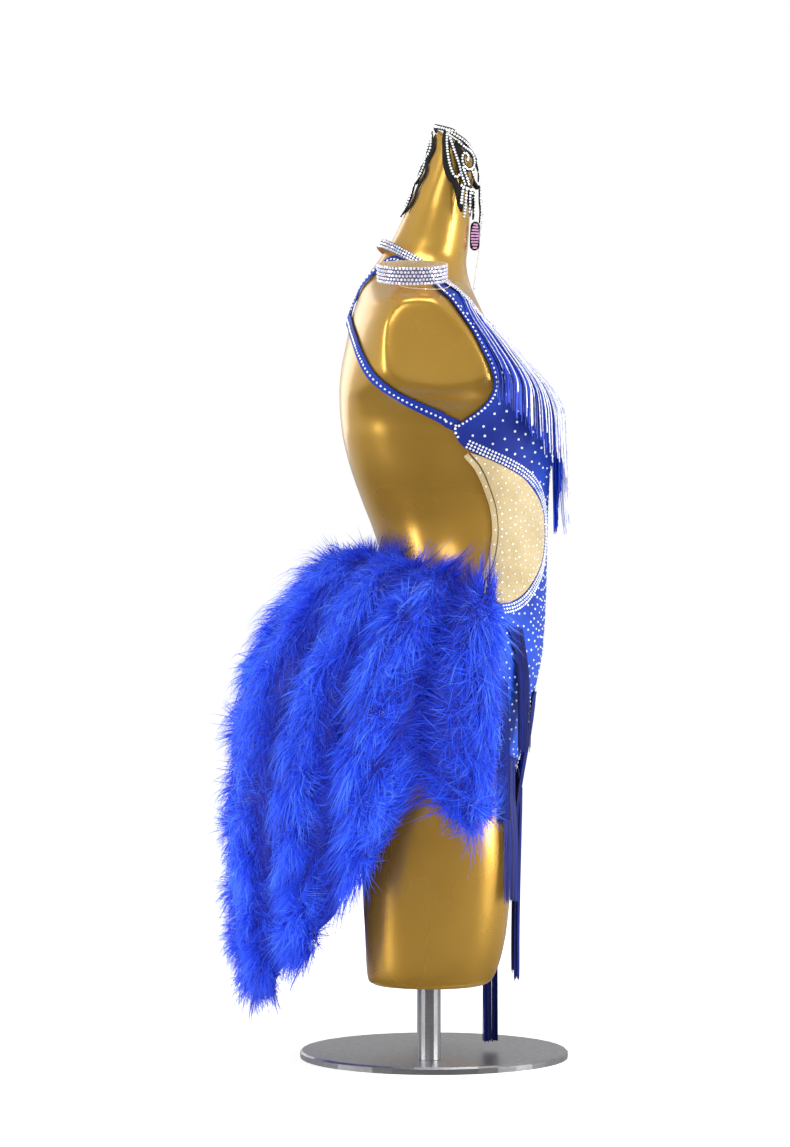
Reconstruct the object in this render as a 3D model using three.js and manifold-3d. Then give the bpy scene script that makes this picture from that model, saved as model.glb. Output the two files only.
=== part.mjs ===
// Latin dance costume on a limbless dress form, in millimetres with +Z up.
// +X is the costume's front and +Y the wearer's left. The origin is the middle of the
// stand's underside. Everything worn is built from the form's own sections, moved out.
import * as THREE from 'three';
import { mergeVertices } from 'three/addons/utils/BufferGeometryUtils.js';
import Module from 'manifold-3d';

const wasm = await Module();
wasm.setup();

// Layers, measured outward from the form.
const CLEAR = 1.6;
const CLOTH = 1.4;
const SEAM = 0.3;
const SKIN = CLEAR + CLOTH;
const OVER = SKIN + 0.5;
const BAND_THICK = 2.2;
const PANEL_GAP = 1.5;
const FRINGE_LIFT = SKIN + 0.8;
const FRINGE_THICK = 2;

// Trim and hardware sizes.
const STRAP_WIDTH = 13;
const BAND_WIDTH = 11;
const BINDING_WIDTH = 6.5;
const STRAND_WIDTH = 2.2;
const CUFF_RADIUS = 36;
const CUFF_HEIGHT = 19;
const CUFF_TILT = THREE.MathUtils.degToRad(11);
const CUFF_PLACE = [-25, -134, 866.6];
const PLATE_RADIUS = 150;
const PLATE_THICK = 8;
const POST_RADIUS = 12.5;
const SHOULDER_CUT = 172;
const THIGH_CUT = 90;
const THIGH_SPREAD = 83;

// Horizontal sections of the form: height, back and front on the mid-plane, half width,
// and how square the section is (2 is an ellipse).
const SECTIONS = [
  [296, -62, 56, 118, 2.2],
  [303, -84, 84, 150, 2.2],
  [316, -96, 88, 160, 2.2],
  [332, -103, 91, 166, 2.2],
  [354, -111, 98, 169, 2.2],
  [388, -116, 105, 171, 2.2],
  [421, -114, 112, 168, 2.2],
  [455, -103, 118.5, 161, 2.2],
  [489, -85, 121, 150, 2.2],
  [522, -68, 122.5, 137, 2.2],
  [560, -60, 123.5, 123, 2.2],
  [589, -68, 124, 119, 2.2],
  [623, -81, 125, 122, 2.3],
  [657, -93, 126, 129, 2.5],
  [690, -101.5, 126, 136, 2.6],
  [712, -104.5, 124, 142, 2.6],
  [728, -105.5, 120, 156, 2.5],
  [741, -106, 115, 176, 2.35],
  [755, -105.5, 108.5, 190, 2.2],
  [775, -103, 96, 201, 2],
  [797, -98.5, 79, 204, 1.9],
  [812, -95.5, 66, 200, 1.85],
  [825, -92.5, 58, 188, 1.85],
  [837, -89, 52, 172, 1.9],
  [846, -86, 48, 145, 1.95],
  [856, -83, 43.5, 114, 2],
  [866, -78.5, 40, 90, 2],
  [876, -73, 37.5, 76, 2],
  [890, -63, 36, 64, 2],
  [903, -54, 37.5, 58, 2],
  [916, -45.5, 38.5, 53, 2],
  [937, -35.5, 40, 48, 2],
  [959, -26, 41, 45, 2],
];

// Slanted sections at the top of the neck: back x and z, front x and z, half width.
const NECK = [
  [-17, 980, 43, 972, 44],
  [-7, 1008, 44.5, 988, 43.5],
  [0, 1033, 45, 1001, 42.5],
  [2.2, 1039, 44, 1005, 40.5],
];

// Thigh sections: height, back, front, half width.
const THIGH = [
  [THIGH_CUT, -70, 57, 58],
  [93, -73, 61, 61],
  [103, -75, 67, 63],
  [121, -76, 73, 64.5],
  [145, -77, 78, 65.5],
  [186, -79, 82.5, 67],
  [230, -80.5, 85.5, 69],
  [270, -82, 84.5, 71],
  [296, -82, 81, 69.5],
  [312, -78, 73, 63],
  [330, -70, 60, 53],
];

// The bust cups stand out of the front, one each side.
const CUP = { rise: 19, aside: 76, spread: 42, height: 712, tall: 46 };

// ---- The form's surface ----

// Reads a table at a height, with a smooth curve through its rows.
function readTable(rows, height) {
  const last = rows.length - 1;
  const z = THREE.MathUtils.clamp(height, rows[0][0], rows[last][0]);
  let i = 0;
  while (i < last - 1 && rows[i + 1][0] < z) i += 1;
  const before = rows[Math.max(i - 1, 0)];
  const low = rows[i];
  const high = rows[i + 1];
  const after = rows[Math.min(i + 2, last)];
  const span = high[0] - low[0];
  const t = (z - low[0]) / span;
  return low.map((value, column) => {
    const slopeLow = (high[column] - before[column]) / (high[0] - before[0]);
    const slopeHigh = (after[column] - value) / (after[0] - low[0]);
    return (2 * t ** 3 - 3 * t ** 2 + 1) * value + (t ** 3 - 2 * t ** 2 + t) * span * slopeLow
      + (3 * t ** 2 - 2 * t ** 3) * high[column] + (t ** 3 - t ** 2) * span * slopeHigh;
  });
}

function sectionAt(height) {
  const [, back, front, half, round] = readTable(SECTIONS, height);
  return { middle: (back + front) / 2, depth: (front - back) / 2, half, round };
}

function cupRise(y, z) {
  const sideways = (Math.abs(y) - CUP.aside) / CUP.spread;
  const upward = (z - CUP.height) / CUP.tall;
  return CUP.rise * Math.exp(-(sideways ** 2) - upward ** 2);
}

// A point on the form. turn is the angle from the front, positive to the wearer's left.
function formPoint(turn, z) {
  const { middle, depth, half, round } = sectionAt(z);
  const c = Math.cos(turn);
  const s = Math.sin(turn);
  const reach = (Math.abs(c) ** round + Math.abs(s) ** round) ** (-1 / round);
  const y = THREE.MathUtils.clamp(half * reach * s, -SHOULDER_CUT, SHOULDER_CUT);
  const front = Math.max(c, 0) ** 0.5;
  return new THREE.Vector3(middle + depth * reach * c + front * cupRise(y, z), y, z);
}

function formNormal(turn, z) {
  const step = 0.004;
  const drop = 0.6;
  const across = formPoint(turn + step, z).sub(formPoint(turn - step, z));
  const upward = formPoint(turn, z + drop).sub(formPoint(turn, z - drop));
  return across.cross(upward).normalize();
}

// The turn and height of the form point that lies level with a given point.
function turnOf([x, y, z]) {
  const { middle, depth, half } = sectionAt(z);
  const ahead = x - middle;
  const rise = ahead > 0 ? cupRise(y, z) : 0;
  return [Math.atan2(y / half, (ahead - rise) / depth), z];
}

function lifted(turn, z, lift) {
  return formPoint(turn, z).addScaledVector(formNormal(turn, z), lift);
}

// ---- Closed solids ----

function signedVolume(points, faces) {
  return faces.reduce((sum, [a, b, c]) => {
    return sum + points[a].dot(points[b].clone().cross(points[c])) / 6;
  }, 0);
}

// A closed geometry from points and triangles, turned so that its faces point out.
function solid(points, faces) {
  const outward = signedVolume(points, faces) > 0;
  const geometry = new THREE.BufferGeometry().setFromPoints(points);
  geometry.setIndex(faces.flatMap(([a, b, c]) => (outward ? [a, b, c] : [a, c, b])));
  return geometry;
}

// A wall over a grid: place(u, v, lift) gives a point, and inner and outer give the lifts.
function wall(columns, rows, place, inner, outer) {
  const points = [];
  for (const lift of [outer, inner]) {
    for (let j = 0; j <= rows; j += 1) {
      for (let i = 0; i <= columns; i += 1) {
        const u = i / columns;
        const v = j / rows;
        points.push(place(u, v, typeof lift === 'function' ? lift(u, v) : lift));
      }
    }
  }
  const under = points.length / 2;
  const id = (i, j) => j * (columns + 1) + i;
  const faces = [];
  const quad = (a, b, c, d) => faces.push([a, b, c], [a, c, d]);
  for (let j = 0; j < rows; j += 1) {
    for (let i = 0; i < columns; i += 1) {
      quad(id(i, j), id(i + 1, j), id(i + 1, j + 1), id(i, j + 1));
      quad(id(i, j) + under, id(i, j + 1) + under, id(i + 1, j + 1) + under, id(i + 1, j) + under);
    }
  }
  for (let i = 0; i < columns; i += 1) {
    quad(id(i + 1, 0), id(i, 0), id(i, 0) + under, id(i + 1, 0) + under);
    quad(id(i, rows), id(i + 1, rows), id(i + 1, rows) + under, id(i, rows) + under);
  }
  for (let j = 0; j < rows; j += 1) {
    quad(id(0, j), id(0, j + 1), id(0, j + 1) + under, id(0, j) + under);
    quad(id(columns, j + 1), id(columns, j), id(columns, j) + under, id(columns, j + 1) + under);
  }
  return solid(points, faces);
}

// A solid through a stack of rings, closed by a flat fan at each end.
function loft(rings) {
  const count = rings[0].length;
  const points = rings.flat();
  const faces = [];
  for (let r = 0; r < rings.length - 1; r += 1) {
    for (let k = 0; k < count; k += 1) {
      const a = r * count + k;
      const b = r * count + ((k + 1) % count);
      faces.push([a, b, b + count], [a, b + count, a + count]);
    }
  }
  for (const [ring, first] of [[rings[0], 0], [rings.at(-1), points.length - count]]) {
    const middle = new THREE.Vector3();
    ring.forEach((point) => middle.addScaledVector(point, 1 / count));
    points.push(middle);
    for (let k = 0; k < count; k += 1) {
      const edge = [first + k, first + ((k + 1) % count)];
      if (first === 0) edge.reverse();
      faces.push([edge[0], edge[1], points.length - 1]);
    }
  }
  return solid(points, faces);
}

function toManifold(geometry) {
  const bare = geometry.clone();
  bare.deleteAttribute('normal');
  bare.deleteAttribute('uv');
  const merged = mergeVertices(bare, 1e-3);
  return new wasm.Manifold(new wasm.Mesh({
    numProp: 3,
    vertProperties: new Float32Array(merged.attributes.position.array),
    triVerts: new Uint32Array(merged.index.array),
  }));
}

function fromManifold(body) {
  const mesh = body.getMesh();
  const geometry = new THREE.BufferGeometry();
  geometry.setAttribute('position', new THREE.BufferAttribute(mesh.vertProperties, 3));
  geometry.setIndex(new THREE.BufferAttribute(mesh.triVerts, 1));
  return geometry;
}

function joined(geometries) {
  return fromManifold(geometries.map(toManifold).reduce((whole, next) => whole.add(next)));
}

// ---- Cloth laid on the form ----

// A curve through places near the form, read as turn and height. A curve whose places all
// lie on one side stops half a seam short of the middle. Turns run on past the back where
// the piece lies behind.
function edgeOnForm(places, isBehind = false) {
  const curve = new THREE.CatmullRomCurve3(places.map((p) => new THREE.Vector3(...p)));
  const side = [1, -1].find((sign) => places.every(([, y]) => sign * y > 0));
  return (t) => {
    const point = curve.getPointAt(THREE.MathUtils.clamp(t, 0, 1));
    if (side) point.y = side * Math.max(side * point.y, SEAM / 2);
    const [turn, z] = turnOf(point.toArray());
    return [isBehind && turn < 0 ? turn + 2 * Math.PI : turn, z];
  };
}

// A panel that fills four edges. left and right run down, top and bottom run left to right.
function panel({ left, right, top, bottom }, columns, rows, isBehind = false) {
  const [west, east, north, south] = [left, right, top, bottom].map((e) => edgeOnForm(e, isBehind));
  const corner = (u, v) => (u ? east : west)(v);
  const place = (u, v, lift) => {
    const at = [0, 1].map((k) => {
      const sides = (1 - u) * west(v)[k] + u * east(v)[k];
      const ends = (1 - v) * north(u)[k] + v * south(u)[k];
      const corners = (1 - u) * (1 - v) * corner(0, 0)[k] + u * (1 - v) * corner(1, 0)[k]
        + (1 - u) * v * corner(0, 1)[k] + u * v * corner(1, 1)[k];
      return sides + ends - corners;
    });
    return lifted(at[0], at[1], lift);
  };
  return wall(columns, rows, place, CLEAR, SKIN);
}

// A ribbon of even width along a path on the form.
function ribbon(path, width, steps, inner, outer) {
  const along = edgeOnForm(path);
  const place = (u, v, lift) => {
    const [turn, z] = along(v);
    const ahead = formPoint(...along(v + 0.01)).sub(formPoint(...along(v - 0.01))).normalize();
    const aside = formNormal(turn, z).cross(ahead).normalize();
    const point = formPoint(turn, z).addScaledVector(aside, (u - 0.5) * width);
    const [sideTurn, sideZ] = turnOf(point.toArray());
    return lifted(sideTurn, sideZ, lift);
  };
  return wall(1, steps, place, inner, outer);
}

const mirror = (places) => places.map(([x, y, z]) => [x, -y, z]);
const backwards = (places) => [...places].reverse();

// The same line moved sideways over the form. On the wearer's left, a line that runs down
// moves back, and one that runs forward moves down.
function beside(places, gap) {
  return places.map((place, i) => {
    const ahead = new THREE.Vector3(...places[Math.min(i + 1, places.length - 1)]);
    ahead.sub(new THREE.Vector3(...places[Math.max(i - 1, 0)])).normalize();
    const [turn, z] = turnOf(place);
    const aside = formNormal(turn, z).cross(ahead).normalize();
    return formPoint(turn, z).addScaledVector(aside, gap).toArray();
  });
}

// ---- Parts list ----

const costume = new THREE.Group();

const MATERIALS = {
  gold: new THREE.MeshStandardMaterial({ color: 0xb8902f, roughness: 0.2, metalness: 0.9 }),
  steel: new THREE.MeshStandardMaterial({ color: 0x9a9a9a, roughness: 0.35, metalness: 1 }),
  blue: new THREE.MeshStandardMaterial({ color: 0x2440b8, roughness: 0.45 }),
  nude: new THREE.MeshStandardMaterial({ color: 0xcbb588, roughness: 0.7 }),
  crystal: new THREE.MeshStandardMaterial({ color: 0xd8dcea, roughness: 0.15, metalness: 0.3 }),
  fringe: new THREE.MeshStandardMaterial({ color: 0x18206e, roughness: 0.5 }),
  feather: new THREE.MeshStandardMaterial({ color: 0x2a46f0, roughness: 0.9 }),
  black: new THREE.MeshStandardMaterial({ color: 0x101014, roughness: 0.4 }),
};

function add(name, geometry, material) {
  const mesh = new THREE.Mesh(geometry, MATERIALS[material]);
  mesh.name = name;
  costume.add(mesh);
  return mesh;
}

// Builds a piece on the wearer's left from its places, and its mirror on the right.
function addPair(name, material, build) {
  add(`${name}_left`, build((places) => places, 1), material);
  add(`${name}_right`, build(mirror, -1), material);
}

// ---- The form: torso, neck and two thigh stubs in one body ----

const AROUND = 28;
const AROUND_THIGH = 20;

function slantedRing([backX, backZ, frontX, frontZ, half]) {
  return Array.from({ length: AROUND }, (_, k) => {
    const turn = (2 * Math.PI * k) / AROUND;
    const forward = (1 + Math.cos(turn)) / 2;
    const x = THREE.MathUtils.lerp(backX, frontX, forward);
    return new THREE.Vector3(x, half * Math.sin(turn), THREE.MathUtils.lerp(backZ, frontZ, forward));
  });
}

function levelRing(z) {
  return Array.from({ length: AROUND }, (_, k) => {
    const turn = (2 * Math.PI * k) / AROUND;
    const { middle, depth, half, round } = sectionAt(z);
    const c = Math.cos(turn);
    const s = Math.sin(turn);
    const reach = (Math.abs(c) ** round + Math.abs(s) ** round) ** (-1 / round);
    const y = half * reach * s;
    const front = Math.max(c, 0) ** 0.5;
    return new THREE.Vector3(middle + depth * reach * c + front * cupRise(y, z), y, z);
  });
}

function thighLoft(side) {
  return loft(THIGH.map(([z, back, front, half]) => {
    return Array.from({ length: AROUND_THIGH }, (_, k) => {
      const turn = (2 * Math.PI * k) / AROUND_THIGH;
      const x = (back + front) / 2 + ((front - back) / 2) * Math.cos(turn);
      return new THREE.Vector3(x, side * THIGH_SPREAD + half * Math.sin(turn), z);
    });
  }));
}

// Every section has a ring, and from the waist to the bust one more lies between each two.
const WAIST_TO_BUST = [522, 728];
const ringHeights = SECTIONS.flatMap(([z], i) => {
  const isFine = z >= WAIST_TO_BUST[0] && z < WAIST_TO_BUST[1];
  return isFine ? [z, (z + SECTIONS[i + 1][0]) / 2] : [z];
});
const torso = toManifold(loft([...ringHeights.map(levelRing), ...NECK.map(slantedRing)]));
const slab = toManifold(new THREE.BoxGeometry(600, 2 * SHOULDER_CUT, 3000));
const thighs = [1, -1].map((side) => toManifold(thighLoft(side)));
add('form_body', fromManifold(torso.intersect(slab).add(thighs[0]).add(thighs[1])), 'gold');

// ---- The stand: a round plate and a post under each thigh ----

function turned(profile, around) {
  const lathe = new THREE.LatheGeometry(profile.map(([r, z]) => new THREE.Vector2(r, z)), around);
  return lathe.rotateX(Math.PI / 2);
}

const plateProfile = [
  [0, 0],
  [PLATE_RADIUS, 0],
  [PLATE_RADIUS, PLATE_THICK - 2],
  [PLATE_RADIUS - 2, PLATE_THICK],
  [0, PLATE_THICK],
];
const postProfile = [
  [0, PLATE_THICK + SEAM],
  [POST_RADIUS, PLATE_THICK + SEAM],
  [POST_RADIUS, THIGH_CUT - SEAM],
  [0, THIGH_CUT - SEAM],
];
add('stand_plate', turned(plateProfile, 40), 'steel');
for (const [name, side] of [['left', 1], ['right', -1]]) {
  const post = add(`stand_post_${name}`, turned(postProfile, 16), 'steel');
  post.position.set(-6, side * THIGH_SPREAD, 0);
}

// ---- Seam lines on the wearer's left, each from the top or the side towards the centre ----

const ARMHOLE = [
  [-6, 90, 867], [-3, 108, 858], [1.5, 128, 849], [9, 146, 841], [22, 158, 826], [37, 162, 803],
  [48, 164, 780], [56, 160, 760], [59, 152, 744], [55, 142, 729], [46, 138, 718], [32, 138, 707],
  [21, 138, 698], [25, 135, 686],
];
const NECKLINE = [
  [7, 80, 867], [14, 96, 856], [24, 108, 846], [36, 104, 834], [49, 86, 818], [58, 54, 812],
  [66, 31, 805], [76, 19, 797], [95, 14, 780], [112, 12, 762], [121, 9, 748],
];
const CENTRE_FRONT = [[124, 0.2, 738], [128, 0.2, 700], [127, 0.2, 660], [127, 0.2, 634]];
const UNDERBUST = [[25, 135, 686], [33, 132, 677], [54, 126, 667], [76, 114, 656.5], [93, 99, 646],
  [105, 84, 635], [116, 55, 632], [124, 26, 632]];
const INSET_FRONT = [[105, 84, 635], [116, 62, 618], [121, 46, 600], [121.5, 42, 578], [117, 55, 555.5],
  [108, 82, 534], [95, 105, 517.5], [83, 119, 510], [70, 130, 507]];
const INSET_BACK = [[33, 131, 668], [44, 126, 653], [53, 120, 631], [59, 115, 610], [61.5, 115, 588],
  [59, 118, 566], [55, 124, 550], [48, 129, 536], [41, 135, 523]];
const SIDE_SEAM = [[70, 130, 507], [62, 140, 492], [54, 152, 460], [46, 162, 425], [42, 165, 385]];
const LEG_FRONT = [[42, 165, 385], [66, 140, 352], [84, 92, 326], [87, 45, 316], [88, 10, 313]];
const LEG_BACK = [[42, 165, 385], [0, 172, 352], [-55, 150, 328], [-88, 90, 316], [-93, 10, 313]];
const INSET_FOOT = [56, 134, 514];
const TRUNK_TOP = [[55, 135, 510], [38, 136, 520], [10, 128, 535], [-30, 100, 547], [-55, 50, 552],
  [-60, 0, 553]];
const STRAP_LOW = [[17, 139, 705], [-4, 142, 715], [-26, 144, 726], [-48, 152, 739], [-66, 151, 753],
  [-80, 135, 773], [-89, 100, 796], [-94, 50, 815]];
const STRAP_CROSSING = [-93, 0, 830];
const STRAP_HIGH = [[-88, 18, 848], [-79, 36, 864], [-68, 48, 877], [-52, 58, 886], [-34, 68, 882],
  [-16, 84, 870]];
const CROSSING_SPREAD = 30;
const COLLAR = [[-10, 76, 874], [-27, 64, 886], [-43, 42, 898], [-53, 18, 903.5], [-55, 0, 904.5]];
const COLLAR_STAND = 5;
const COLLAR_GAP = 5;
const BAND_TAIL = [123.5, 7.5, 738];
const TOP_LIFT = 0.9;
const GUSSET_HALF = 9;
const GUSSET_PATH = [[88.6, 311.4], [84.6, 303], [56, 296], [-3, 295.7], [-62, 296], [-84.6, 303],
  [-92.8, 311.4]];
const GUSSET_CUTS = 3;

// Bars over the keyhole: name, x, half length, z.
const BRIDGES = [['bridge_upper', 66, 21.2, 803], ['bridge_lower', 121, 6, 750]];
const BRIDGE_WIDTH = 7;

// Fringe strips. The bust strip ends down the centre front, and its feet rise to the side.
const BACKING_HEIGHT = 6;
const FRINGE_END = [[124, 9, 734], [127, 10, 716]];
const FRINGE_FEET = [[0, 724], [0.25, 716], [0.5, 697], [0.7, 676], [0.85, 640], [1, 606]];

// Hip fringes: letter, both ends of the strip, height of the feet, strands.
const HIP_FRINGES = [
  ['a', 76, 131, 481, 92, 116, 477, 348, 6],
  ['b', 106, 60, 409, 112, 38, 408, 236, 6],
  ['c', 61, 147, 424, 75, 135.5, 421, 272, 6],
  ['d', 79, 106, 340, 90, 86, 337, 184, 6],
  ['e', 87, 38, 322, 88, 18, 321, 92, 5],
];
const TASSEL = { x: 63, top: 292.5, neck: 283.5, foot: 18, strands: 5 };

// The skirt cloth on the wearer's left. Each row is one fan line from the centre back to the
// front edge, and each place in it is one even drop further from the waist to the feather tips.
const FAN_EDGE = 5;
const SKIRT_LIFT = OVER + 1.4;
const DROP_ROWS = 8;
const HEM = (DROP_ROWS - 1) / DROP_ROWS;
const FAN = [
  [[-61, 0, 549], [-108, 0, 530], [-160, 0, 468], [-190, 0, 390], [-199, 0, 300], [-199, 0, 212],
    [-193, 0, 130], [-183, 0, 60]],
  [[-52, 50, 549], [-92, 70, 529], [-142, 84, 466], [-172, 84, 388], [-183, 76, 302], [-185, 66, 218],
    [-181, 54, 145], [-174, 46, 82]],
  [[-20, 108, 545], [-55, 126, 521], [-95, 142, 460], [-122, 143, 390], [-135, 135, 318],
    [-139, 123, 250], [-139, 110, 190], [-135, 102, 142]],
  [[12, 130, 534], [-20, 154, 506], [-45, 174, 455], [-58, 182, 400], [-63, 180, 350], [-63, 174, 305],
    [-62, 168, 266], [-60, 164, 232]],
  [[42, 134, 519], [38, 158, 487], [30, 178, 443], [26, 184, 400], [25, 183, 360], [25, 179, 322],
    [26, 174, 288], [28, 170, 256]],
  [[60, 136, 505], [60, 146, 480], [58, 158, 445], [57, 162, 408], [56, 161, 372], [55, 158, 338],
    [54, 154, 310], [53, 152, 284]],
];

// Skirt gores beside the centre one: name and the fan lines that each lies between.
const GORES = [
  ['skirt_1', 1, 3],
  ['skirt_2', 3, 5],
];
const GORE_GAP = 0.005;

// Feather boas beside the centre one: name and the fan lines that each lies between.
const BOAS = [
  ['boa_1', 0.5, 1.5],
  ['boa_2', 1.5, 2.5],
  ['boa_3', 2.5, 3.5],
  ['boa_4', 3.5, 5],
];
const BOA_LIFT = CLOTH + 0.9;
const BOA_RISE = 46;
const BOA_EDGE = 5;
const BOA_GAP = 0.012;

// Applique on the neck: degrees from the front, or from the back, and height.
const APPLIQUE_THICK = 2;
const APPLIQUE_LIFT = 3;
const APPLIQUE_SWING = 8;
const SCROLL_WIDTH = 4.5;
const LEAF_WIDTH = 11;
const NECK_AXIS_X = 15;
const FRONT_SCROLLS = [
  [[0, 1001], [24, 1004], [48, 1009], [68, 1011]],
  [[66, 1012], [58, 990], [44, 974], [28, 972], [20, 984], [28, 994], [42, 990]],
  [[44, 974], [38, 958], [22, 946], [0, 944]],
  [[28, 972], [16, 962], [0, 960]],
];
const STEM = [[48, 1003], [52.5, 976], [55, 954], [53.5, 930], [51.5, 905], [48, 880], [45, 859]];
const LEAF = [[53.6, 932], [53.4, 918], [51.4, 904]];
const BACK_SCROLLS = [
  [[0, 1034], [22, 1026], [30, 1012], [18, 1002], [0, 998]],
  [[0, 975], [16, 966], [20, 954], [0, 943]],
];
const SPINE = [1036, 1010, 985, 960, 940];

// ---- Bodice: a halter cup each side, shoulder to underbust seam ----

addPair('bodice', 'blue', (flip) => panel({
  left: flip(ARMHOLE),
  right: flip([...NECKLINE, ...CENTRE_FRONT]),
  top: flip([ARMHOLE[0], NECKLINE[0]]),
  bottom: flip([...UNDERBUST, CENTRE_FRONT.at(-1)]),
}, 8, 16));

// ---- Centre front of the leotard, underbust seam to crotch ----

const belowBust = beside([...UNDERBUST, CENTRE_FRONT.at(-1)], PANEL_GAP);
const frontSide = [belowBust[5], ...INSET_FRONT.slice(1), ...SIDE_SEAM.slice(1)];
const frontTop = belowBust.slice(5, 8);
add('front_body', panel({
  left: frontSide,
  right: mirror(frontSide),
  top: [...frontTop, ...backwards(mirror(frontTop))],
  bottom: [...LEG_FRONT, ...backwards(mirror(LEG_FRONT))],
}, 12, 14), 'blue');

// ---- Trunk back: hips and seat, open above the waist ----

const trunkSide = beside(SIDE_SEAM, PANEL_GAP);
const trunkTop = [trunkSide[0], ...TRUNK_TOP, ...backwards(mirror(TRUNK_TOP)).slice(1),
  mirror(trunkSide)[0]];
const legBack = [trunkSide.at(-1), ...LEG_BACK.slice(1)];
add('trunk_back', panel({
  left: trunkSide,
  right: mirror(trunkSide),
  top: trunkTop,
  bottom: [...legBack, ...backwards(mirror(legBack))],
}, 28, 7, true), 'blue');

// ---- Gusset: a strip under the crotch, front edge to back edge ----

// A corner of the strip's path, moved out from the body.
function gussetCorner(k, lift) {
  const [x, z] = GUSSET_PATH[k];
  const [nextX, nextZ] = GUSSET_PATH[Math.min(k + 1, GUSSET_PATH.length - 1)];
  const [lastX, lastZ] = GUSSET_PATH[Math.max(k - 1, 0)];
  const outward = new THREE.Vector2(lastZ - nextZ, nextX - lastX).normalize().multiplyScalar(lift);
  return new THREE.Vector2(x - outward.x, z + outward.y);
}

add('gusset', wall(2, GUSSET_CUTS * (GUSSET_PATH.length - 1), (u, v, lift) => {
  const along = v * (GUSSET_PATH.length - 1);
  const k = Math.min(Math.floor(along), GUSSET_PATH.length - 2);
  const place = gussetCorner(k, lift).lerp(gussetCorner(k + 1, lift), along - k);
  return new THREE.Vector3(place.x, (2 * u - 1) * GUSSET_HALF, place.y);
}, CLEAR, SKIN), 'blue');

// ---- Nude inset at the waist and the binding on its back edge ----

addPair('mesh_binding', 'nude', (flip) => ribbon(
  flip(beside(INSET_BACK, -BINDING_WIDTH / 2)), BINDING_WIDTH, 14, CLEAR, SKIN));

addPair('mesh', 'nude', (flip) => {
  const behind = beside([belowBust[5], ...INSET_FRONT.slice(1)], PANEL_GAP + 2 * SEAM);
  const ahead = beside(INSET_BACK, -BINDING_WIDTH - 2.5 * SEAM);
  return panel({
    left: flip(ahead),
    right: flip(behind),
    top: flip([ahead[0], ...belowBust.slice(2, 5), behind[0]]),
    bottom: flip([ahead.at(-1), INSET_FOOT, behind.at(-1)]),
  }, 6, 12);
});

// ---- Back straps: each runs from one side, over the centre back, to the other shoulder ----

const strapPath = (flip) => [...flip(STRAP_LOW), STRAP_CROSSING, ...mirror(flip(STRAP_HIGH))];
const lowLength = new THREE.CatmullRomCurve3([...STRAP_LOW, STRAP_CROSSING]
  .map((p) => new THREE.Vector3(...p))).getLength();
const wholeLength = new THREE.CatmullRomCurve3(strapPath((p) => p)
  .map((p) => new THREE.Vector3(...p))).getLength();
const CROSSING_TOP = 1.6;
const hump = (v) => {
  const away = (v - lowLength / wholeLength) * wholeLength;
  const rise = CROSSING_TOP * Math.exp(-((away / CROSSING_SPREAD) ** 2));
  return (CLOTH + 2 * SEAM) * Math.min(1, rise);
};
add('strap_a', ribbon(strapPath(mirror), STRAP_WIDTH, 28,
  (u, v) => CLEAR + hump(v), (u, v) => SKIN + hump(v)), 'blue');
add('strap_b', ribbon(strapPath((places) => places), STRAP_WIDTH, 28, CLEAR, SKIN), 'blue');

// ---- Crystal bands: neckline, collar and the two bars over the keyhole ----

// The neckline bands rise a little where they meet the collar, and the collar stands off
// the neck between its ends and the nape.
const bandLine = beside([...NECKLINE, BAND_TAIL], BAND_WIDTH / 2);
const bandLift = (u, v) => OVER + TOP_LIFT * (1 - v) ** 6;
addPair('crystal_band', 'crystal', (flip) => ribbon(
  flip(bandLine), BAND_WIDTH, 24, bandLift, (u, v) => bandLift(u, v) + BAND_THICK));

const bandStart = new THREE.Vector3(...bandLine[0]);
const collarEnd = bandStart.clone().lerp(new THREE.Vector3(...COLLAR[0]),
  COLLAR_GAP / bandStart.distanceTo(new THREE.Vector3(...COLLAR[0])));
const collarLine = [collarEnd.toArray(), ...COLLAR];
const collarLift = (u, v) => {
  return OVER + TOP_LIFT + (COLLAR_STAND - TOP_LIFT) * Math.sin(Math.PI * v) ** 2;
};
add('collar_band', ribbon([...collarLine, ...backwards(mirror(collarLine)).slice(1)], BAND_WIDTH, 24,
  collarLift, (u, v) => collarLift(u, v) + BAND_THICK), 'crystal');

// Each bar runs from band to band over the open chest.
for (const [name, x, half, z] of BRIDGES) {
  add(name, ribbon([[x, half, z], [x + 1, 0, z - 0.5], [x, -half, z]], BRIDGE_WIDTH, 4,
    OVER, OVER + BAND_THICK), 'crystal');
}

// ---- Fringe: strands whose roots are fused into a strip ----

// Whether a point is inside the form, or nearer to it than lift.
function isNear(x, y, z, lift) {
  if (z < SECTIONS[0][0]) {
    const [, back, front, half] = readTable(THIGH, z);
    const ahead = (x - (back + front) / 2) / ((front - back) / 2 + lift);
    return ahead ** 2 + ((Math.abs(y) - THIGH_SPREAD) / (half + lift)) ** 2 < 1;
  }
  const [turn, height] = turnOf([x, y, z]);
  return new THREE.Vector3(x, y, z).sub(lifted(turn, height, lift)).dot(formNormal(turn, height)) < 0;
}

// How far out a strand at this height must stand from its root to clear the form.
function reachAt(root, away, z, lift) {
  let reach = 0;
  for (let step = 32; step > 0.2; step /= 2) {
    const point = root.clone().addScaledVector(away, reach + step);
    if (isNear(point.x, point.y, z, lift)) reach += step;
  }
  return reach;
}

// The places of a strand: down over the form from its root, then straight down from where
// it last touched.
function strandLine(root, foot, steps) {
  const away = formNormal(...turnOf(root.toArray())).setZ(0).normalize();
  let reach = 0;
  return Array.from({ length: steps }, (_, k) => {
    const z = THREE.MathUtils.lerp(root.z, foot, (k + 1) / steps);
    reach = Math.max(reach, reachAt(root, away, z, FRINGE_LIFT + FRINGE_THICK));
    return root.clone().addScaledVector(away, reach).setZ(z);
  });
}

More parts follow.
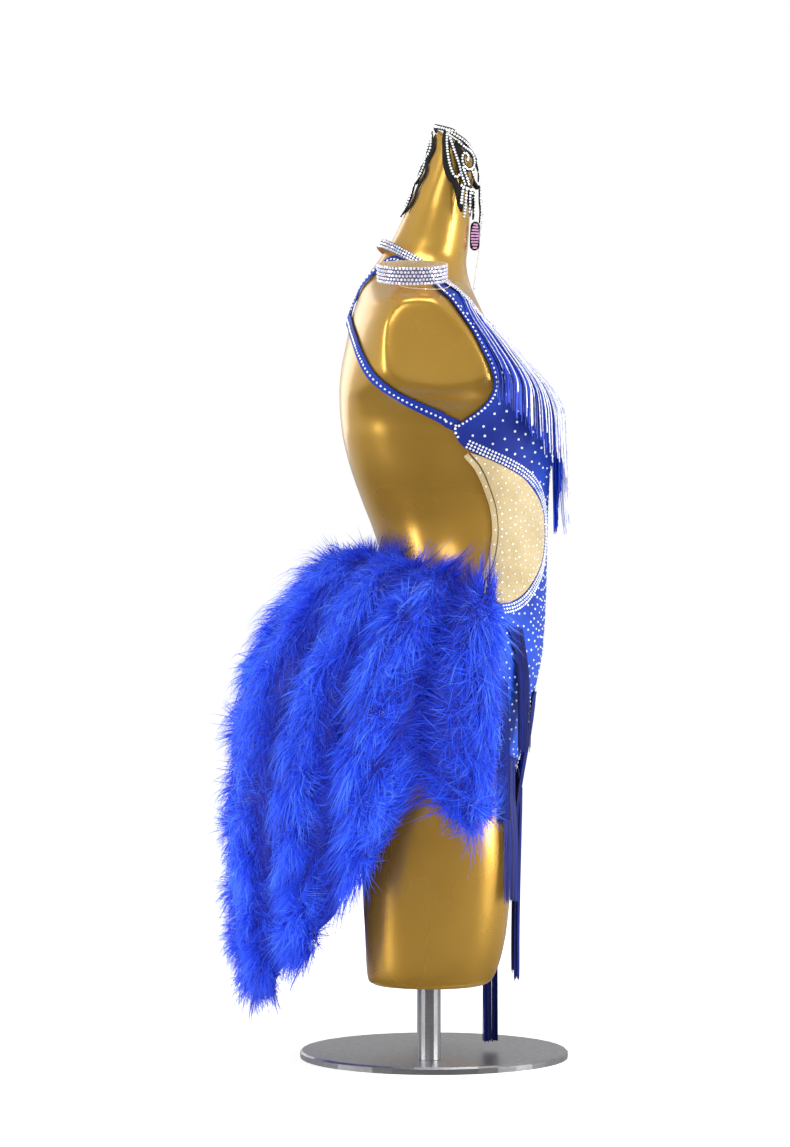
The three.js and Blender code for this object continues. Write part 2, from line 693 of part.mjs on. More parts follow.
// A fringe in one body: a strip along a path on the form, whose lower face runs out into a
// four-sided strand at every second cell. feet gives each strand's lowest height.
function fringe(path, feet, count, steps) {
  const along = edgeOnForm(path);
  const length = new THREE.CatmullRomCurve3(path.map((p) => new THREE.Vector3(...p))).getLength();
  const half = STRAND_WIDTH / 2 / length;
  const cuts = [0];
  for (let k = 0; k < count; k += 1) cuts.push((k + 0.5) / count - half, (k + 0.5) / count + half);
  cuts.push(1);
  const points = [];
  const faces = [];
  const quad = (a, b, c, d) => faces.push([a, b, c], [a, c, d]);
  for (const v of cuts) {
    const [turn, z] = along(v);
    const ahead = formPoint(...along(v + 0.01)).sub(formPoint(...along(v - 0.01))).normalize();
    const down = formNormal(turn, z).cross(ahead).normalize();
    if (down.z > 0) down.negate();
    for (const side of [-0.5, 0.5]) {
      const edge = formPoint(turn, z).addScaledVector(down, side * BACKING_HEIGHT);
      const place = turnOf(edge.toArray());
      points.push(lifted(...place, FRINGE_LIFT), lifted(...place, FRINGE_LIFT + FRINGE_THICK));
    }
  }
  cuts.slice(1).forEach((_, k) => {
    const [a, b] = [4 * k, 4 * k + 4];
    quad(a, b, b + 1, a + 1);
    quad(a + 1, b + 1, b + 3, a + 3);
    quad(a, a + 2, b + 2, b);
    if (k % 2 === 0) quad(a + 3, b + 3, b + 2, a + 2);
    else {
      const mouth = [a + 3, b + 3, b + 2, a + 2];
      const corners = mouth.map((id) => points[id].clone());
      const root = new THREE.Vector3();
      corners.forEach((corner) => root.addScaledVector(corner, 0.25));
      let last = mouth;
      for (const place of strandLine(root, feet((k / 2) / count), steps)) {
        const next = corners.map((corner) => {
          points.push(corner.clone().sub(root).add(place));
          return points.length - 1;
        });
        for (let c = 0; c < 4; c += 1) quad(last[c], last[(c + 1) % 4], next[(c + 1) % 4], next[c]);
        last = next;
      }
      quad(...last);
    }
  });
  quad(0, 1, 3, 2);
  const end = 4 * (cuts.length - 1);
  quad(end, end + 2, end + 3, end + 1);
  return solid(points, faces);
}

addPair('bust_fringe', 'fringe', (flip) => {
  const path = beside([...NECKLINE.slice(4), ...FRINGE_END], BAND_WIDTH + 1.3 + BACKING_HEIGHT / 2);
  const feet = (v) => readTable(FRINGE_FEET, v)[1];
  return fringe(flip(path), feet, 20, 4);
});

for (const [letter, x, y, z, endX, endY, endZ, foot, count] of HIP_FRINGES) {
  addPair(`hip_fringe_${letter}`, 'fringe', (flip) => fringe(
    flip([[x, y, z], [(x + endX) / 2, (y + endY) / 2, (z + endZ) / 2], [endX, endY, endZ]]),
    () => foot, count, 3));
}

// The last tassel hangs between the thighs from a small block under the crotch.
const TASSEL_HALF = 7.5;
const tasselHead = new THREE.BoxGeometry(2 * TASSEL_HALF, 6, TASSEL.top - TASSEL.neck);
tasselHead.translate(TASSEL.x, 0, (TASSEL.top + TASSEL.neck) / 2);
const tasselStrands = Array.from({ length: TASSEL.strands }, (_, k) => {
  const x = TASSEL.x + TASSEL_HALF * ((2 * k + 1) / TASSEL.strands - 1);
  const column = [TASSEL.foot, TASSEL.neck + 2].map((z) => [0, 1, 2].map((corner) => {
    const angle = (2 * Math.PI * corner) / 3;
    return new THREE.Vector3(x + (STRAND_WIDTH / 2) * Math.cos(angle),
      (STRAND_WIDTH / 2) * Math.sin(angle), z);
  }));
  return loft(column);
});
add('hip_fringe_f', joined([tasselHead, ...tasselStrands]), 'fringe');

// ---- Skirt: five flared gores that hang from the waist and carry the feather boas ----

// The cloth at a fan position (0 is the centre back, 5 the front edge) and a drop from 0 to 1.
const fanCurves = FAN.map((places) => new THREE.CatmullRomCurve3(places
  .map((p) => new THREE.Vector3(...p))));
function fanPoint(fan, drop) {
  const row = fanCurves.map((curve) => curve.getPoint(drop));
  const whole = [...backwards(row).slice(0, -1).map(({ x, y, z }) => new THREE.Vector3(x, -y, z)),
    ...row];
  const point = new THREE.CatmullRomCurve3(whole).getPoint((fan + FAN_EDGE) / (2 * FAN_EDGE));
  if (point.z < SECTIONS[0][0]) return point;
  const [turn, z] = turnOf(point.toArray());
  const proud = point.clone().sub(formPoint(turn, z)).dot(formNormal(turn, z));
  return proud > SKIRT_LIFT ? point : lifted(turn, z, SKIRT_LIFT);
}

function fanLifted(fan, drop, lift) {
  const step = 0.02;
  const across = fanPoint(Math.min(fan + step, FAN_EDGE), drop)
    .sub(fanPoint(Math.max(fan - step, -FAN_EDGE), drop));
  const down = fanPoint(fan, Math.min(drop + step, 1)).sub(fanPoint(fan, Math.max(drop - step, 0)));
  return fanPoint(fan, drop).addScaledVector(across.cross(down).normalize(), lift);
}

function gore(from, to) {
  const place = (u, v, lift) => {
    return fanLifted(THREE.MathUtils.lerp(from, to, u) + GORE_GAP * (1 - 2 * u), v * HEM, lift);
  };
  return wall(2 * (to - from), DROP_ROWS - 1, place, 0, CLOTH);
}
add('skirt_centre', gore(-1, 1), 'blue');
for (const [name, from, to] of GORES) {
  add(`${name}_left`, gore(from, to), 'blue');
  add(`${name}_right`, gore(-to, -from), 'blue');
}

// Each boa fills its own share of the fan, a rounded roll that narrows at both ends.
const boaLoft = (u, v) => {
  const roll = Math.sqrt(Math.max(0, 1 - (2 * u - 1) ** 2));
  const top = THREE.MathUtils.smoothstep(v, -0.12, 0.16);
  const foot = 1 - 0.75 * THREE.MathUtils.smoothstep(v, 0.86, 1);
  return BOA_LIFT + BOA_EDGE + (BOA_RISE - BOA_EDGE) * roll * top * foot;
};
function boa(from, to) {
  const place = (u, v, lift) => {
    return fanLifted(THREE.MathUtils.lerp(from, to, u) + BOA_GAP * (1 - 2 * u), v, lift);
  };
  return wall(4 * (to - from), DROP_ROWS, place, BOA_LIFT, boaLoft);
}
add('boa_centre', boa(-0.5, 0.5), 'feather');
for (const [name, from, to] of BOAS) {
  add(`${name}_left`, boa(from, to), 'feather');
  add(`${name}_right`, boa(-to, -from), 'feather');
}

// ---- Cuff: a wrist band of crystal rows that rests on the right shoulder ----

const cuffProfile = [
  [CUFF_RADIUS, -CUFF_HEIGHT / 2],
  [CUFF_RADIUS + BAND_THICK, -CUFF_HEIGHT / 2],
  [CUFF_RADIUS + BAND_THICK, CUFF_HEIGHT / 2],
  [CUFF_RADIUS, CUFF_HEIGHT / 2],
  [CUFF_RADIUS, -CUFF_HEIGHT / 2],
];
const cuff = add('cuff', turned(cuffProfile, 28), 'crystal');
cuff.rotation.x = CUFF_TILT;
cuff.position.set(...CUFF_PLACE);

// ---- Headpiece: an applique that drapes over the slanted top of the neck ----

// A place on the neck: turn from the front in degrees, height on the mid-plane and lift.
const NECK_LEVELS = [...SECTIONS.slice(-3).map(([z, back, front, half]) => [back, z, front, z, half]),
  ...NECK];
function neckPoint(degrees, z, lift) {
  const turn = THREE.MathUtils.degToRad(degrees);
  const forward = (1 + Math.cos(turn)) / 2;
  const heightOf = ([, backZ, , frontZ]) => THREE.MathUtils.lerp(backZ, frontZ, forward);
  let i = 0;
  while (i < NECK_LEVELS.length - 2 && heightOf(NECK_LEVELS[i + 1]) < z) i += 1;
  const [low, high] = [NECK_LEVELS[i], NECK_LEVELS[i + 1]];
  const t = (z - heightOf(low)) / (heightOf(high) - heightOf(low));
  const [backX, , frontX, , half] = low.map((value, k) => THREE.MathUtils.lerp(value, high[k], t));
  const depth = (frontX - backX) / 2 + lift;
  return new THREE.Vector3((backX + frontX) / 2 + depth * Math.cos(turn),
    (half + lift) * Math.sin(turn), z);
}

// A flat bar of applique along a curve, as wide as it lies on the neck.
function scroll(points, width, steps) {
  const curve = new THREE.CatmullRomCurve3(points);
  const rings = Array.from({ length: steps + 1 }, (_, k) => {
    const t = k / steps;
    const point = curve.getPointAt(t);
    const ahead = curve.getTangentAt(t);
    const axis = new THREE.Vector3(NECK_AXIS_X, 0, point.z);
    const outward = point.clone().sub(axis).addScaledVector(ahead, -point.clone().sub(axis).dot(ahead));
    outward.normalize();
    const aside = ahead.clone().cross(outward);
    return [[-1, -1], [1, -1], [1, 1], [-1, 1]].map(([a, b]) => {
      return point.clone().addScaledVector(aside, (a * width) / 2)
        .addScaledVector(outward, (b * APPLIQUE_THICK) / 2);
    });
  });
  return loft(rings);
}

// The scrolls swing off the neck below its top rim.
const RIM = 1004;
const SWING_DROP = 55;
const hang = (z) => {
  return APPLIQUE_LIFT + APPLIQUE_SWING * THREE.MathUtils.clamp((RIM - z) / SWING_DROP, 0, 1);
};
const frontScrolls = FRONT_SCROLLS.flatMap((places) => [1, -1].map((side) => {
  return scroll(places.map(([degrees, z]) => neckPoint(side * degrees, z, hang(z))), SCROLL_WIDTH, 7);
}));
const stem = scroll(STEM.map(([x, z]) => new THREE.Vector3(x, 0, z)), SCROLL_WIDTH, 8);
const leaf = scroll(LEAF.map(([x, z]) => new THREE.Vector3(x, 0, z)), LEAF_WIDTH, 3);
add('headpiece_front', joined([stem, leaf, ...frontScrolls]), 'black');

const backScrolls = BACK_SCROLLS.flatMap((places) => [1, -1].map((side) => {
  return scroll(places.map(([degrees, z]) => neckPoint(side * (180 - degrees), z, APPLIQUE_LIFT)),
    SCROLL_WIDTH, 5);
}));
const spine = scroll(SPINE.map((z) => neckPoint(180, z, APPLIQUE_LIFT)), SCROLL_WIDTH, 8);
add('headpiece_back', joined([spine, ...backScrolls]), 'black');

export default costume;
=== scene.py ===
import math

import bpy
import numpy as np
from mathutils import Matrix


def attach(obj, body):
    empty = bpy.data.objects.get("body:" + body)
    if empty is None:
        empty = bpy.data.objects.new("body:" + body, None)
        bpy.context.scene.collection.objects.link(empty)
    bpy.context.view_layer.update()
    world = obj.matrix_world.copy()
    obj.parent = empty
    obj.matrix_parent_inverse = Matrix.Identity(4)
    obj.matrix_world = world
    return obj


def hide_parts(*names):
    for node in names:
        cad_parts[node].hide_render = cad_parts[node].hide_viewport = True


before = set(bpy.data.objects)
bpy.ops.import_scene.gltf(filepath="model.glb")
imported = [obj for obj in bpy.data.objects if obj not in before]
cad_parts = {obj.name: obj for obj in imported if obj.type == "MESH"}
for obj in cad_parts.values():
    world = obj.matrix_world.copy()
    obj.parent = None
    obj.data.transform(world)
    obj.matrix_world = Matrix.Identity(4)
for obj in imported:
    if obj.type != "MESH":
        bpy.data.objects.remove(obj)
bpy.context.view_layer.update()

# ---- The room ----
# A level camera square to the costume's right side, a pale floor that runs into a pale
# surround, and soft lights: a key by the camera, two tall ones at the sides, one behind and
# one above.

CAMERA_PLACE, CAMERA_LENS, SENSOR_HEIGHT = (-0.0437, -4.0, 0.5408), 112.1, 36

camera = bpy.data.objects.new("camera", bpy.data.cameras.new("camera"))
camera.data.sensor_fit = "VERTICAL"
camera.data.sensor_height = SENSOR_HEIGHT
camera.data.lens = CAMERA_LENS
camera.data.clip_end = 100
camera.location = CAMERA_PLACE
camera.rotation_euler = (math.pi / 2, 0, 0)
bpy.context.scene.collection.objects.link(camera)
bpy.context.scene.camera = camera
bpy.context.scene.view_settings.view_transform = "Standard"


class Wire:
    """A value in a material or the surround. Operators add Math nodes, node() any other."""

    def __init__(self, tree, socket=None):
        self.tree = tree
        self.socket = socket

    def node(self, kind, settings=(), inputs=(), output=0):
        made = self.tree.nodes.new(kind)
        for name, value in dict(settings).items():
            if name == "stops":
                set_stops(made.color_ramp, value)
            else:
                setattr(made, name, value)
        for name, value in dict(inputs).items():
            if isinstance(value, Wire):
                self.tree.links.new(value.socket, made.inputs[name])
            else:
                made.inputs[name].default_value = value
        return Wire(self.tree, made.outputs[output] if made.outputs else None)

    def maths(self, operation, *others):
        return self.node("ShaderNodeMath", {"operation": operation}, enumerate((self, *others)))

    def mix(self, low, high):
        inputs = {0: self, 6: low, 7: high}
        return self.node("ShaderNodeMix", {"data_type": "RGBA"}, inputs, output=2)

    def ramp(self, *stops):
        return self.node("ShaderNodeValToRGB", {"stops": stops}, {0: self})

    def step(self, low, high):
        settings = {"interpolation_type": "SMOOTHSTEP"}
        return self.node("ShaderNodeMapRange", settings, {0: self, 1: low, 2: high})

    def __add__(self, other):
        return self.maths("ADD", other)

    def __mul__(self, other):
        return self.maths("MULTIPLY", other)

    def __sub__(self, other):
        return self.maths("SUBTRACT", other)

    def __rsub__(self, other):
        return (self * -1) + other

    __radd__ = __add__
    __rmul__ = __mul__


def set_stops(ramp, stops):
    while len(ramp.elements) < len(stops):
        ramp.elements.new(1)
    for element, (place, colour) in zip(ramp.elements, stops):
        element.position = place
        element.color = colour


def colour(red, green, blue):
    """A colour as it looks, from 0 to 255, in the light values that the shader takes."""
    return (*(((c / 255 + 0.055) / 1.055) ** 2.4 if c > 10 else c / 3295 for c in
              (red, green, blue)), 1)


def material(name, build):
    """A new material. build takes its wire and gives the sockets of the main shader."""
    made = bpy.data.materials.new(name)
    made.use_nodes = True
    made.node_tree.nodes.clear()
    wire = Wire(made.node_tree)
    shader = wire.node("ShaderNodeBsdfPrincipled", (), build(wire))
    wire.node("ShaderNodeOutputMaterial", (), {"Surface": shader})
    return made


world = bpy.data.worlds.new("surround")
bpy.context.scene.world = world
world.use_nodes = True
world.node_tree.nodes.clear()
air = Wire(world.node_tree)
towards = air.node("ShaderNodeTexCoord")
behind = air.node("ShaderNodeSeparateXYZ", (), {0: towards}, output=1)
above = air.node("ShaderNodeSeparateXYZ", (), {0: towards}, output=2)
glow = (behind * 0.5 + 0.5).ramp(
    (0.0, (0.30, 0.30, 0.30, 1)), (0.28, (0.37, 0.37, 0.37, 1)), (0.5, (0.54, 0.54, 0.55, 1)),
    (0.8, (0.50, 0.50, 0.51, 1)))
glow = above.step(-0.42, -0.05).mix((0.045, 0.026, 0.036, 1), glow)
seen = air.node("ShaderNodeLightPath")
sky = seen.mix(glow, (1.0, 1.0, 1.0, 1))
lit = air.node("ShaderNodeBackground", (), {0: sky, 1: 1.0})
air.node("ShaderNodeOutputWorld", (), {"Surface": lit})

# name, place, size across and up, watts; each one faces the costume's middle
LIGHTS = [
    ("key", (-1.3, -3.4, 2.1), 1.6, 1.2, 20),
    ("front_side", (2.7, -0.7, 0.9), 0.9, 2.0, 46),
    ("back_side", (-2.6, -0.9, 0.9), 0.7, 2.0, 26),
    ("rim", (-1.4, 2.6, 1.3), 1.2, 1.6, 8),
    ("above", (0.1, -0.5, 2.9), 1.6, 1.2, 26),
]
MIDDLE = np.array((-0.02, 0, 0.55))
for name, place, across, up, watts in LIGHTS:
    lamp = bpy.data.objects.new(f"light_{name}", bpy.data.lights.new(name, "AREA"))
    lamp.data.shape = "RECTANGLE"
    lamp.data.size = across
    lamp.data.size_y = up
    lamp.data.energy = watts
    lamp.location = place
    direction = MIDDLE - np.array(place)
    flat_run = math.hypot(direction[0], direction[1])
    lamp.rotation_euler = (math.atan2(flat_run, -direction[2]), 0,
                           math.atan2(-direction[0], direction[1]))
    bpy.context.scene.collection.objects.link(lamp)

MM = 0.001


def add_mesh(name, points, faces, finish, sharp=35):
    """An object from points in millimetres and faces, smooth but for edges over sharp."""
    mesh = bpy.data.meshes.new(name)
    mesh.from_pydata((np.asarray(points, float) * MM).tolist(), [], [
        face for group in faces for face in np.asarray(group).tolist()])
    mesh.update()
    if sharp:
        mesh.polygons.foreach_set("use_smooth", [True] * len(mesh.polygons))
        mesh.set_sharp_from_angle(angle=math.radians(sharp))
    mesh.materials.append(finish)
    made = bpy.data.objects.new(name, mesh)
    bpy.context.scene.collection.objects.link(made)
    return made


def add_piece(name, points, faces, finish, slot, in_cad=False, sharp=35):
    """A piece that rides on the one body. in_cad: it stands for the CAD node of its name."""
    made = add_mesh(name, points, faces, finish, sharp)
    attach(made, "root")
    if in_cad:
        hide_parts(name)
    return made


FLOOR_HALF = 30000
corners = [(x * FLOOR_HALF, y * FLOOR_HALF, 0) for x, y in ((-1, -1), (1, -1), (1, 1), (-1, 1))]
floor_paint = material("floor_paint", lambda wire: {
    "Base Color": (0.93, 0.93, 0.935, 1), "Roughness": 0.9,
    "Emission Color": (1, 1, 1, 1), "Emission Strength": 0.62})
floor = add_mesh("floor", corners, [[[0, 1, 2, 3]]], floor_paint, sharp=0)
floor.visible_glossy = False

# ---- The form ----
# A hollow plastic shop form with no arms, head or legs, blow moulded in one piece, rubbed
# down and lacquered a glossy gold. The arms are cut off flat at the shoulders.

# height, back and front on the mid-plane, half width, squareness (2 is an ellipse)
SECTIONS = np.array([
    (296, -62, 56, 118, 2.2), (303, -84, 84, 150, 2.2), (316, -96, 88, 160, 2.2),
    (332, -103, 91, 166, 2.2), (354, -111, 98, 169, 2.2), (388, -116, 105, 171, 2.2),
    (421, -114, 112, 168, 2.2), (455, -103, 118.5, 161, 2.2), (489, -85, 121, 150, 2.2),
    (522, -68, 122.5, 137, 2.2), (560, -60, 123.5, 123, 2.2), (589, -68, 124, 119, 2.2),
    (623, -81, 125, 122, 2.3), (657, -93, 126, 129, 2.5), (690, -101.5, 126, 136, 2.6),
    (712, -104.5, 124, 142, 2.6), (728, -105.5, 120, 156, 2.5), (741, -106, 115, 176, 2.35),
    (755, -105.5, 108.5, 190, 2.2), (775, -103, 96, 201, 2), (797, -98.5, 79, 204, 1.9),
    (812, -95.5, 66, 200, 1.85), (825, -92.5, 58, 188, 1.85), (837, -89, 52, 172, 1.9),
    (846, -86, 48, 145, 1.95), (856, -83, 43.5, 114, 2), (866, -78.5, 40, 90, 2),
    (876, -73, 37.5, 76, 2), (890, -63, 36, 64, 2), (903, -54, 37.5, 58, 2),
    (916, -45.5, 38.5, 53, 2), (937, -35.5, 40, 48, 2), (959, -26, 41, 45, 2)])
# the slanted top of the neck: back x and z, front x and z, half width
NECK = [(-17, 980, 43, 972, 44), (-7, 1008, 44.5, 988, 43.5), (0, 1033, 45, 1001, 42.5),
        (2.2, 1039, 44, 1005, 40.5)]
# the thigh stubs: height, back, front, half width
THIGH = np.array([
    (90, -70, 57, 58), (93, -73, 61, 61), (103, -75, 67, 63), (121, -76, 73, 64.5),
    (145, -77, 78, 65.5), (186, -79, 82.5, 67), (230, -80.5, 85.5, 69), (270, -82, 84.5, 71),
    (296, -82, 81, 69.5), (312, -78, 73, 63), (330, -70, 60, 53)])
THIGH_SPREAD = 83
SHOULDER_CUT = 172
CUP_RISE, CUP_ASIDE, CUP_SPREAD, CUP_HEIGHT, CUP_TALL = 19, 76, 42, 712, 46
FORM_VOXEL, FORM_SMOOTHING = 0.0052, 8
# where the fair surface begins above the thighs, ends below the neck's top, and ends aside
FAIR_LOW, FAIR_HIGH, FAIR_ASIDE = (335, 365), (925, 945), (150, 166)


def read_table(rows, heights):
    """A table at any heights, with a smooth curve through its rows."""
    last = len(rows) - 1
    z = np.clip(heights, rows[0, 0], rows[last, 0])
    i = np.clip(np.searchsorted(rows[:, 0], z, side="left") - 1, 0, last - 1)
    before, low, high = rows[np.maximum(i - 1, 0)], rows[i], rows[i + 1]
    after = rows[np.minimum(i + 2, last)]
    span = (high[..., :1] - low[..., :1])
    t = (z - low[..., 0])[..., None] / span
    slope_low = (high - before) / (high[..., :1] - before[..., :1])
    slope_high = (after - low) / (after[..., :1] - low[..., :1])
    return ((2 * t**3 - 3 * t**2 + 1) * low + (t**3 - 2 * t**2 + t) * span * slope_low
            + (3 * t**2 - 2 * t**3) * high + (t**3 - t**2) * span * slope_high)


def unit(vectors):
    return vectors / np.maximum(np.linalg.norm(vectors, axis=-1, keepdims=True), 1e-9)


def ease(x, low, high):
    t = np.clip((x - low) / (high - low), 0, 1)
    return t * t * (3 - 2 * t)


def cup_rise(y, z):
    sideways = (np.abs(y) - CUP_ASIDE) / CUP_SPREAD
    return CUP_RISE * np.exp(-sideways**2 - ((z - CUP_HEIGHT) / CUP_TALL)**2)


def form_point(turn, z):
    """A point on the form. turn is the angle from the front, positive to the wearer's left."""
    turn, z = np.broadcast_arrays(np.asarray(turn, float), np.asarray(z, float))
    _, back, front, half, squareness = np.moveaxis(read_table(SECTIONS, z), -1, 0)
    c, s = np.cos(turn), np.sin(turn)
    reach = (np.abs(c)**squareness + np.abs(s)**squareness)**(-1 / squareness)
    y = np.clip(half * reach * s, -SHOULDER_CUT, SHOULDER_CUT)
    cup = np.maximum(c, 0)**0.5 * cup_rise(y, z)
    return np.stack([(back + front) / 2 + (front - back) / 2 * reach * c + cup, y, z], -1)


def form_normal(turn, z):
    across = form_point(turn + 0.004, z) - form_point(turn - 0.004, z)
    return unit(np.cross(across, form_point(turn, z + 0.6) - form_point(turn, z - 0.6)))


def turn_of(points):
    """The turn and height of the form's point that lies level with a given point."""
    x, y, z = np.moveaxis(np.asarray(points, float), -1, 0)
    _, back, front, half, _ = np.moveaxis(read_table(SECTIONS, z), -1, 0)
    ahead = x - (back + front) / 2
    rise = np.where(ahead > 0, cup_rise(y, z), 0)
    return np.arctan2(y / half, (ahead - rise) / ((front - back) / 2)), z


def lifted(turn, z, lift):
    return form_point(turn, z) + form_normal(turn, z) * np.asarray(lift)[..., None]


def spline(points, steps=24):
    """Places on a smooth curve through points, as many to each stretch between two."""
    p = np.asarray(points, float)
    p = np.vstack([2 * p[0] - p[1], p, 2 * p[-1] - p[-2]])
    t = np.arange(steps)[:, None] / steps
    runs = []
    for a, b, c, d in zip(p, p[1:], p[2:], p[3:]):
        before, here, after = (max(np.linalg.norm(e)**0.5, 1e-4) for e in (b - a, c - b, d - c))
        start = ((b - a) / before - (c - a) / (before + here) + (c - b) / here) * here
        end = ((c - b) / here - (d - b) / (here + after) + (d - c) / after) * here
        runs.append(b + start * t + (3 * (c - b) - 2 * start - end) * t**2
                    + (2 * (b - c) + start + end) * t**3)
    return np.vstack([*runs, p[-2:-1]])


def tube_faces(rings, around):
    """The faces of a closed tube of rings, with a middle point after them at each end."""
    k, r = np.meshgrid(np.arange(around), np.arange(rings - 1))
    a, b = (r * around + k).ravel(), (r * around + (k + 1) % around).ravel()
    sides = np.stack([a, b, b + around, a + around], 1)
    k, after = np.arange(around), (np.arange(around) + 1) % around
    top = (rings - 1) * around
    foot = np.stack([after, k, np.full(around, rings * around)], 1)
    head = np.stack([top + k, top + after, np.full(around, rings * around + 1)], 1)
    return sides, foot, head


def closed_tube(rings):
    rings = np.asarray(rings)
    points = np.vstack([rings.reshape(-1, 3), rings[0].mean(0), rings[-1].mean(0)])
    return points, tube_faces(len(rings), rings.shape[1])


AROUND = 144
turns = np.arange(AROUND) * 2 * math.pi / AROUND
forward = (1 + np.cos(turns)) / 2
levels = np.concatenate([[296, 299], np.arange(303, 955, 5)])
rings = [form_point(turns, np.full(AROUND, z)) for z in levels]
top_rows = [(b, z, f, z, h) for z, b, f, h, _ in SECTIONS[-3:]] + NECK
for back_x, back_z, front_x, front_z, half in spline(top_rows, 8)[16:]:
    rings.append(np.stack([back_x + (front_x - back_x) * forward, half * np.sin(turns),
                           back_z + (front_z - back_z) * forward], 1))
shells = [closed_tube(rings)]
for side in (1, -1):
    rows = read_table(THIGH, np.concatenate([[90, 91.5, 93, 96], np.arange(100, 331, 6)]))
    shells.append(closed_tube([np.stack([
        (back + front) / 2 + (front - back) / 2 * np.cos(turns),
        side * THIGH_SPREAD + half * np.sin(turns), np.full(AROUND, z)], 1)
        for z, back, front, half in rows]))
points, faces = [], []
for shell_points, groups in shells:
    faces += [group + sum(map(len, points)) for group in groups]
    points.append(shell_points)


def object_place(wire):
    return wire.node("ShaderNodeTexCoord", output=3)


def clouds(wire, place, scale, detail=2):
    inputs = {"Vector": place, "Scale": scale, "Detail": detail}
    return wire.node("ShaderNodeTexNoise", (), inputs)


def gold_lacquer(wire):
    cloudy = clouds(wire, object_place(wire), 5, 3)
    tint = cloudy.ramp((0.3, colour(206, 156, 58)), (0.7, colour(228, 182, 84)))
    return {"Base Color": tint, "Metallic": 0.72, "Roughness": cloudy * 0.14 + 0.21,
            "Coat Weight": 0.4, "Coat Roughness": 0.12}


gold = material("gold_lacquer", gold_lacquer)
rough_form = add_mesh("rough_form", np.vstack(points), faces, gold)
remesh = rough_form.modifiers.new("whole", "REMESH")
remesh.mode = "VOXEL"
remesh.voxel_size = FORM_VOXEL
remesh.use_smooth_shade = True
soften = rough_form.modifiers.new("soft", "SMOOTH")
soften.factor = 0.5
soften.iterations = FORM_SMOOTHING
whole = bpy.data.meshes.new_from_object(
    rough_form.evaluated_get(bpy.context.evaluated_depsgraph_get()))
# Away from the cuts and the thighs, each point moves to the true surface, so that it is fair.
places = np.empty(len(whole.vertices) * 3)
whole.vertices.foreach_get("co", places)
places = places.reshape(-1, 3) / MM
turn, z = turn_of(places)
fair = ease(z, *FAIR_LOW) * (1 - ease(z, *FAIR_HIGH)) \
    * (1 - ease(np.abs(places[:, 1]), *FAIR_ASIDE))
places += (form_point(turn, z) - places) * fair[:, None]
whole.vertices.foreach_set("co", (places * MM).ravel())
whole.update()
form = bpy.data.objects.new("dress_form", whole)
bpy.context.scene.collection.objects.link(form)
bpy.data.objects.remove(rough_form)
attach(form, "root")
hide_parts("form_body")

# ---- The stand ----
# A round steel plate with a chamfered rim and a steel post under each thigh, turned and
# brushed round, bare metal under a thin lacquer.


def bumped(wire, height, strength):
    inputs = {"Strength": strength, "Distance": 0.0002, "Height": height}
    return wire.node("ShaderNodeBump", (), inputs)


def brushed_steel(wire):
    turned = {"Vector": object_place(wire), "Scale": (40, 40, 900)}
    lines = clouds(wire, wire.node("ShaderNodeMapping", (), turned), 4, 3)
    tint = lines.ramp((0.3, (0.36, 0.36, 0.37, 1)), (0.7, (0.56, 0.56, 0.57, 1)))
    return {"Base Color": tint, "Metallic": 1.0, "Roughness": lines * 0.2 + 0.25,
            "Normal": bumped(wire, lines, 0.2)}


steel = material("brushed_steel", brushed_steel)
for node in ("stand_plate", "stand_post_left", "stand_post_right"):
    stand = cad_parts[node]
    stand.data.materials.clear()
    stand.data.materials.append(steel)

# ---- Bodice ----
# Two halter cups of royal blue stretch knit, cut in one with the shoulder and sewn together
# down the centre front. The raw edges are turned and zigzagged over elastic.

CLEAR, CLOTH, SEAM, PANEL_GAP = 1.6, 1.4, 0.3, 0.4
SKIN = CLEAR + CLOTH
OVER = SKIN + 0.5
# seam lines on the wearer's left, from the top or the side towards the centre
ARMHOLE = [
    (-6, 90, 867), (-3, 108, 858), (1.5, 128, 849), (9, 146, 841), (22, 158, 826),
    (37, 162, 803), (48, 164, 780), (56, 160, 760), (59, 152, 744), (55, 142, 729),
    (46, 138, 718), (32, 138, 707), (21, 138, 698), (25, 135, 686)]
NECKLINE = [
    (7, 80, 867), (14, 96, 856), (24, 108, 846), (36, 104, 834), (49, 86, 818), (58, 54, 812),
    (66, 31, 805), (76, 19, 797), (95, 14, 780), (112, 12, 762), (121, 9, 748)]
CENTRE_FRONT = [(124, 0.2, 738), (128, 0.2, 700), (127, 0.2, 660), (127, 0.2, 634)]
UNDERBUST = [(25, 135, 686), (33, 132, 677), (54, 126, 667), (76, 114, 656.5), (93, 99, 646),
             (105, 84, 635), (116, 55, 632), (124, 26, 632)]


def along(path, t):
    """Points on a smooth curve through places, by the share of its length."""
    line = spline(path)
    run = np.concatenate([[0], np.cumsum(np.linalg.norm(np.diff(line, axis=0), axis=1))])
    where = np.clip(t, 0, 1) * run[-1]
    return np.stack([np.interp(where, run, line[:, k]) for k in range(3)], -1)


def length_of(path):
    return np.linalg.norm(np.diff(spline(path), axis=0), axis=1).sum()


def edge_on_form(places, behind=False):
    """A curve through places near the form, read as turn and height. A curve that keeps to
    one side stops half a seam short of the middle."""
    side = next((s for s in (1, -1) if all(s * p[1] > 0 for p in places)), 0)

    def edge(t):
        points = along(places, t)
        if side:
            points[..., 1] = side * np.maximum(side * points[..., 1], SEAM / 2)
        turn, z = turn_of(points)
        return np.where(behind & (turn < 0), turn + 2 * math.pi, turn), z
    return edge


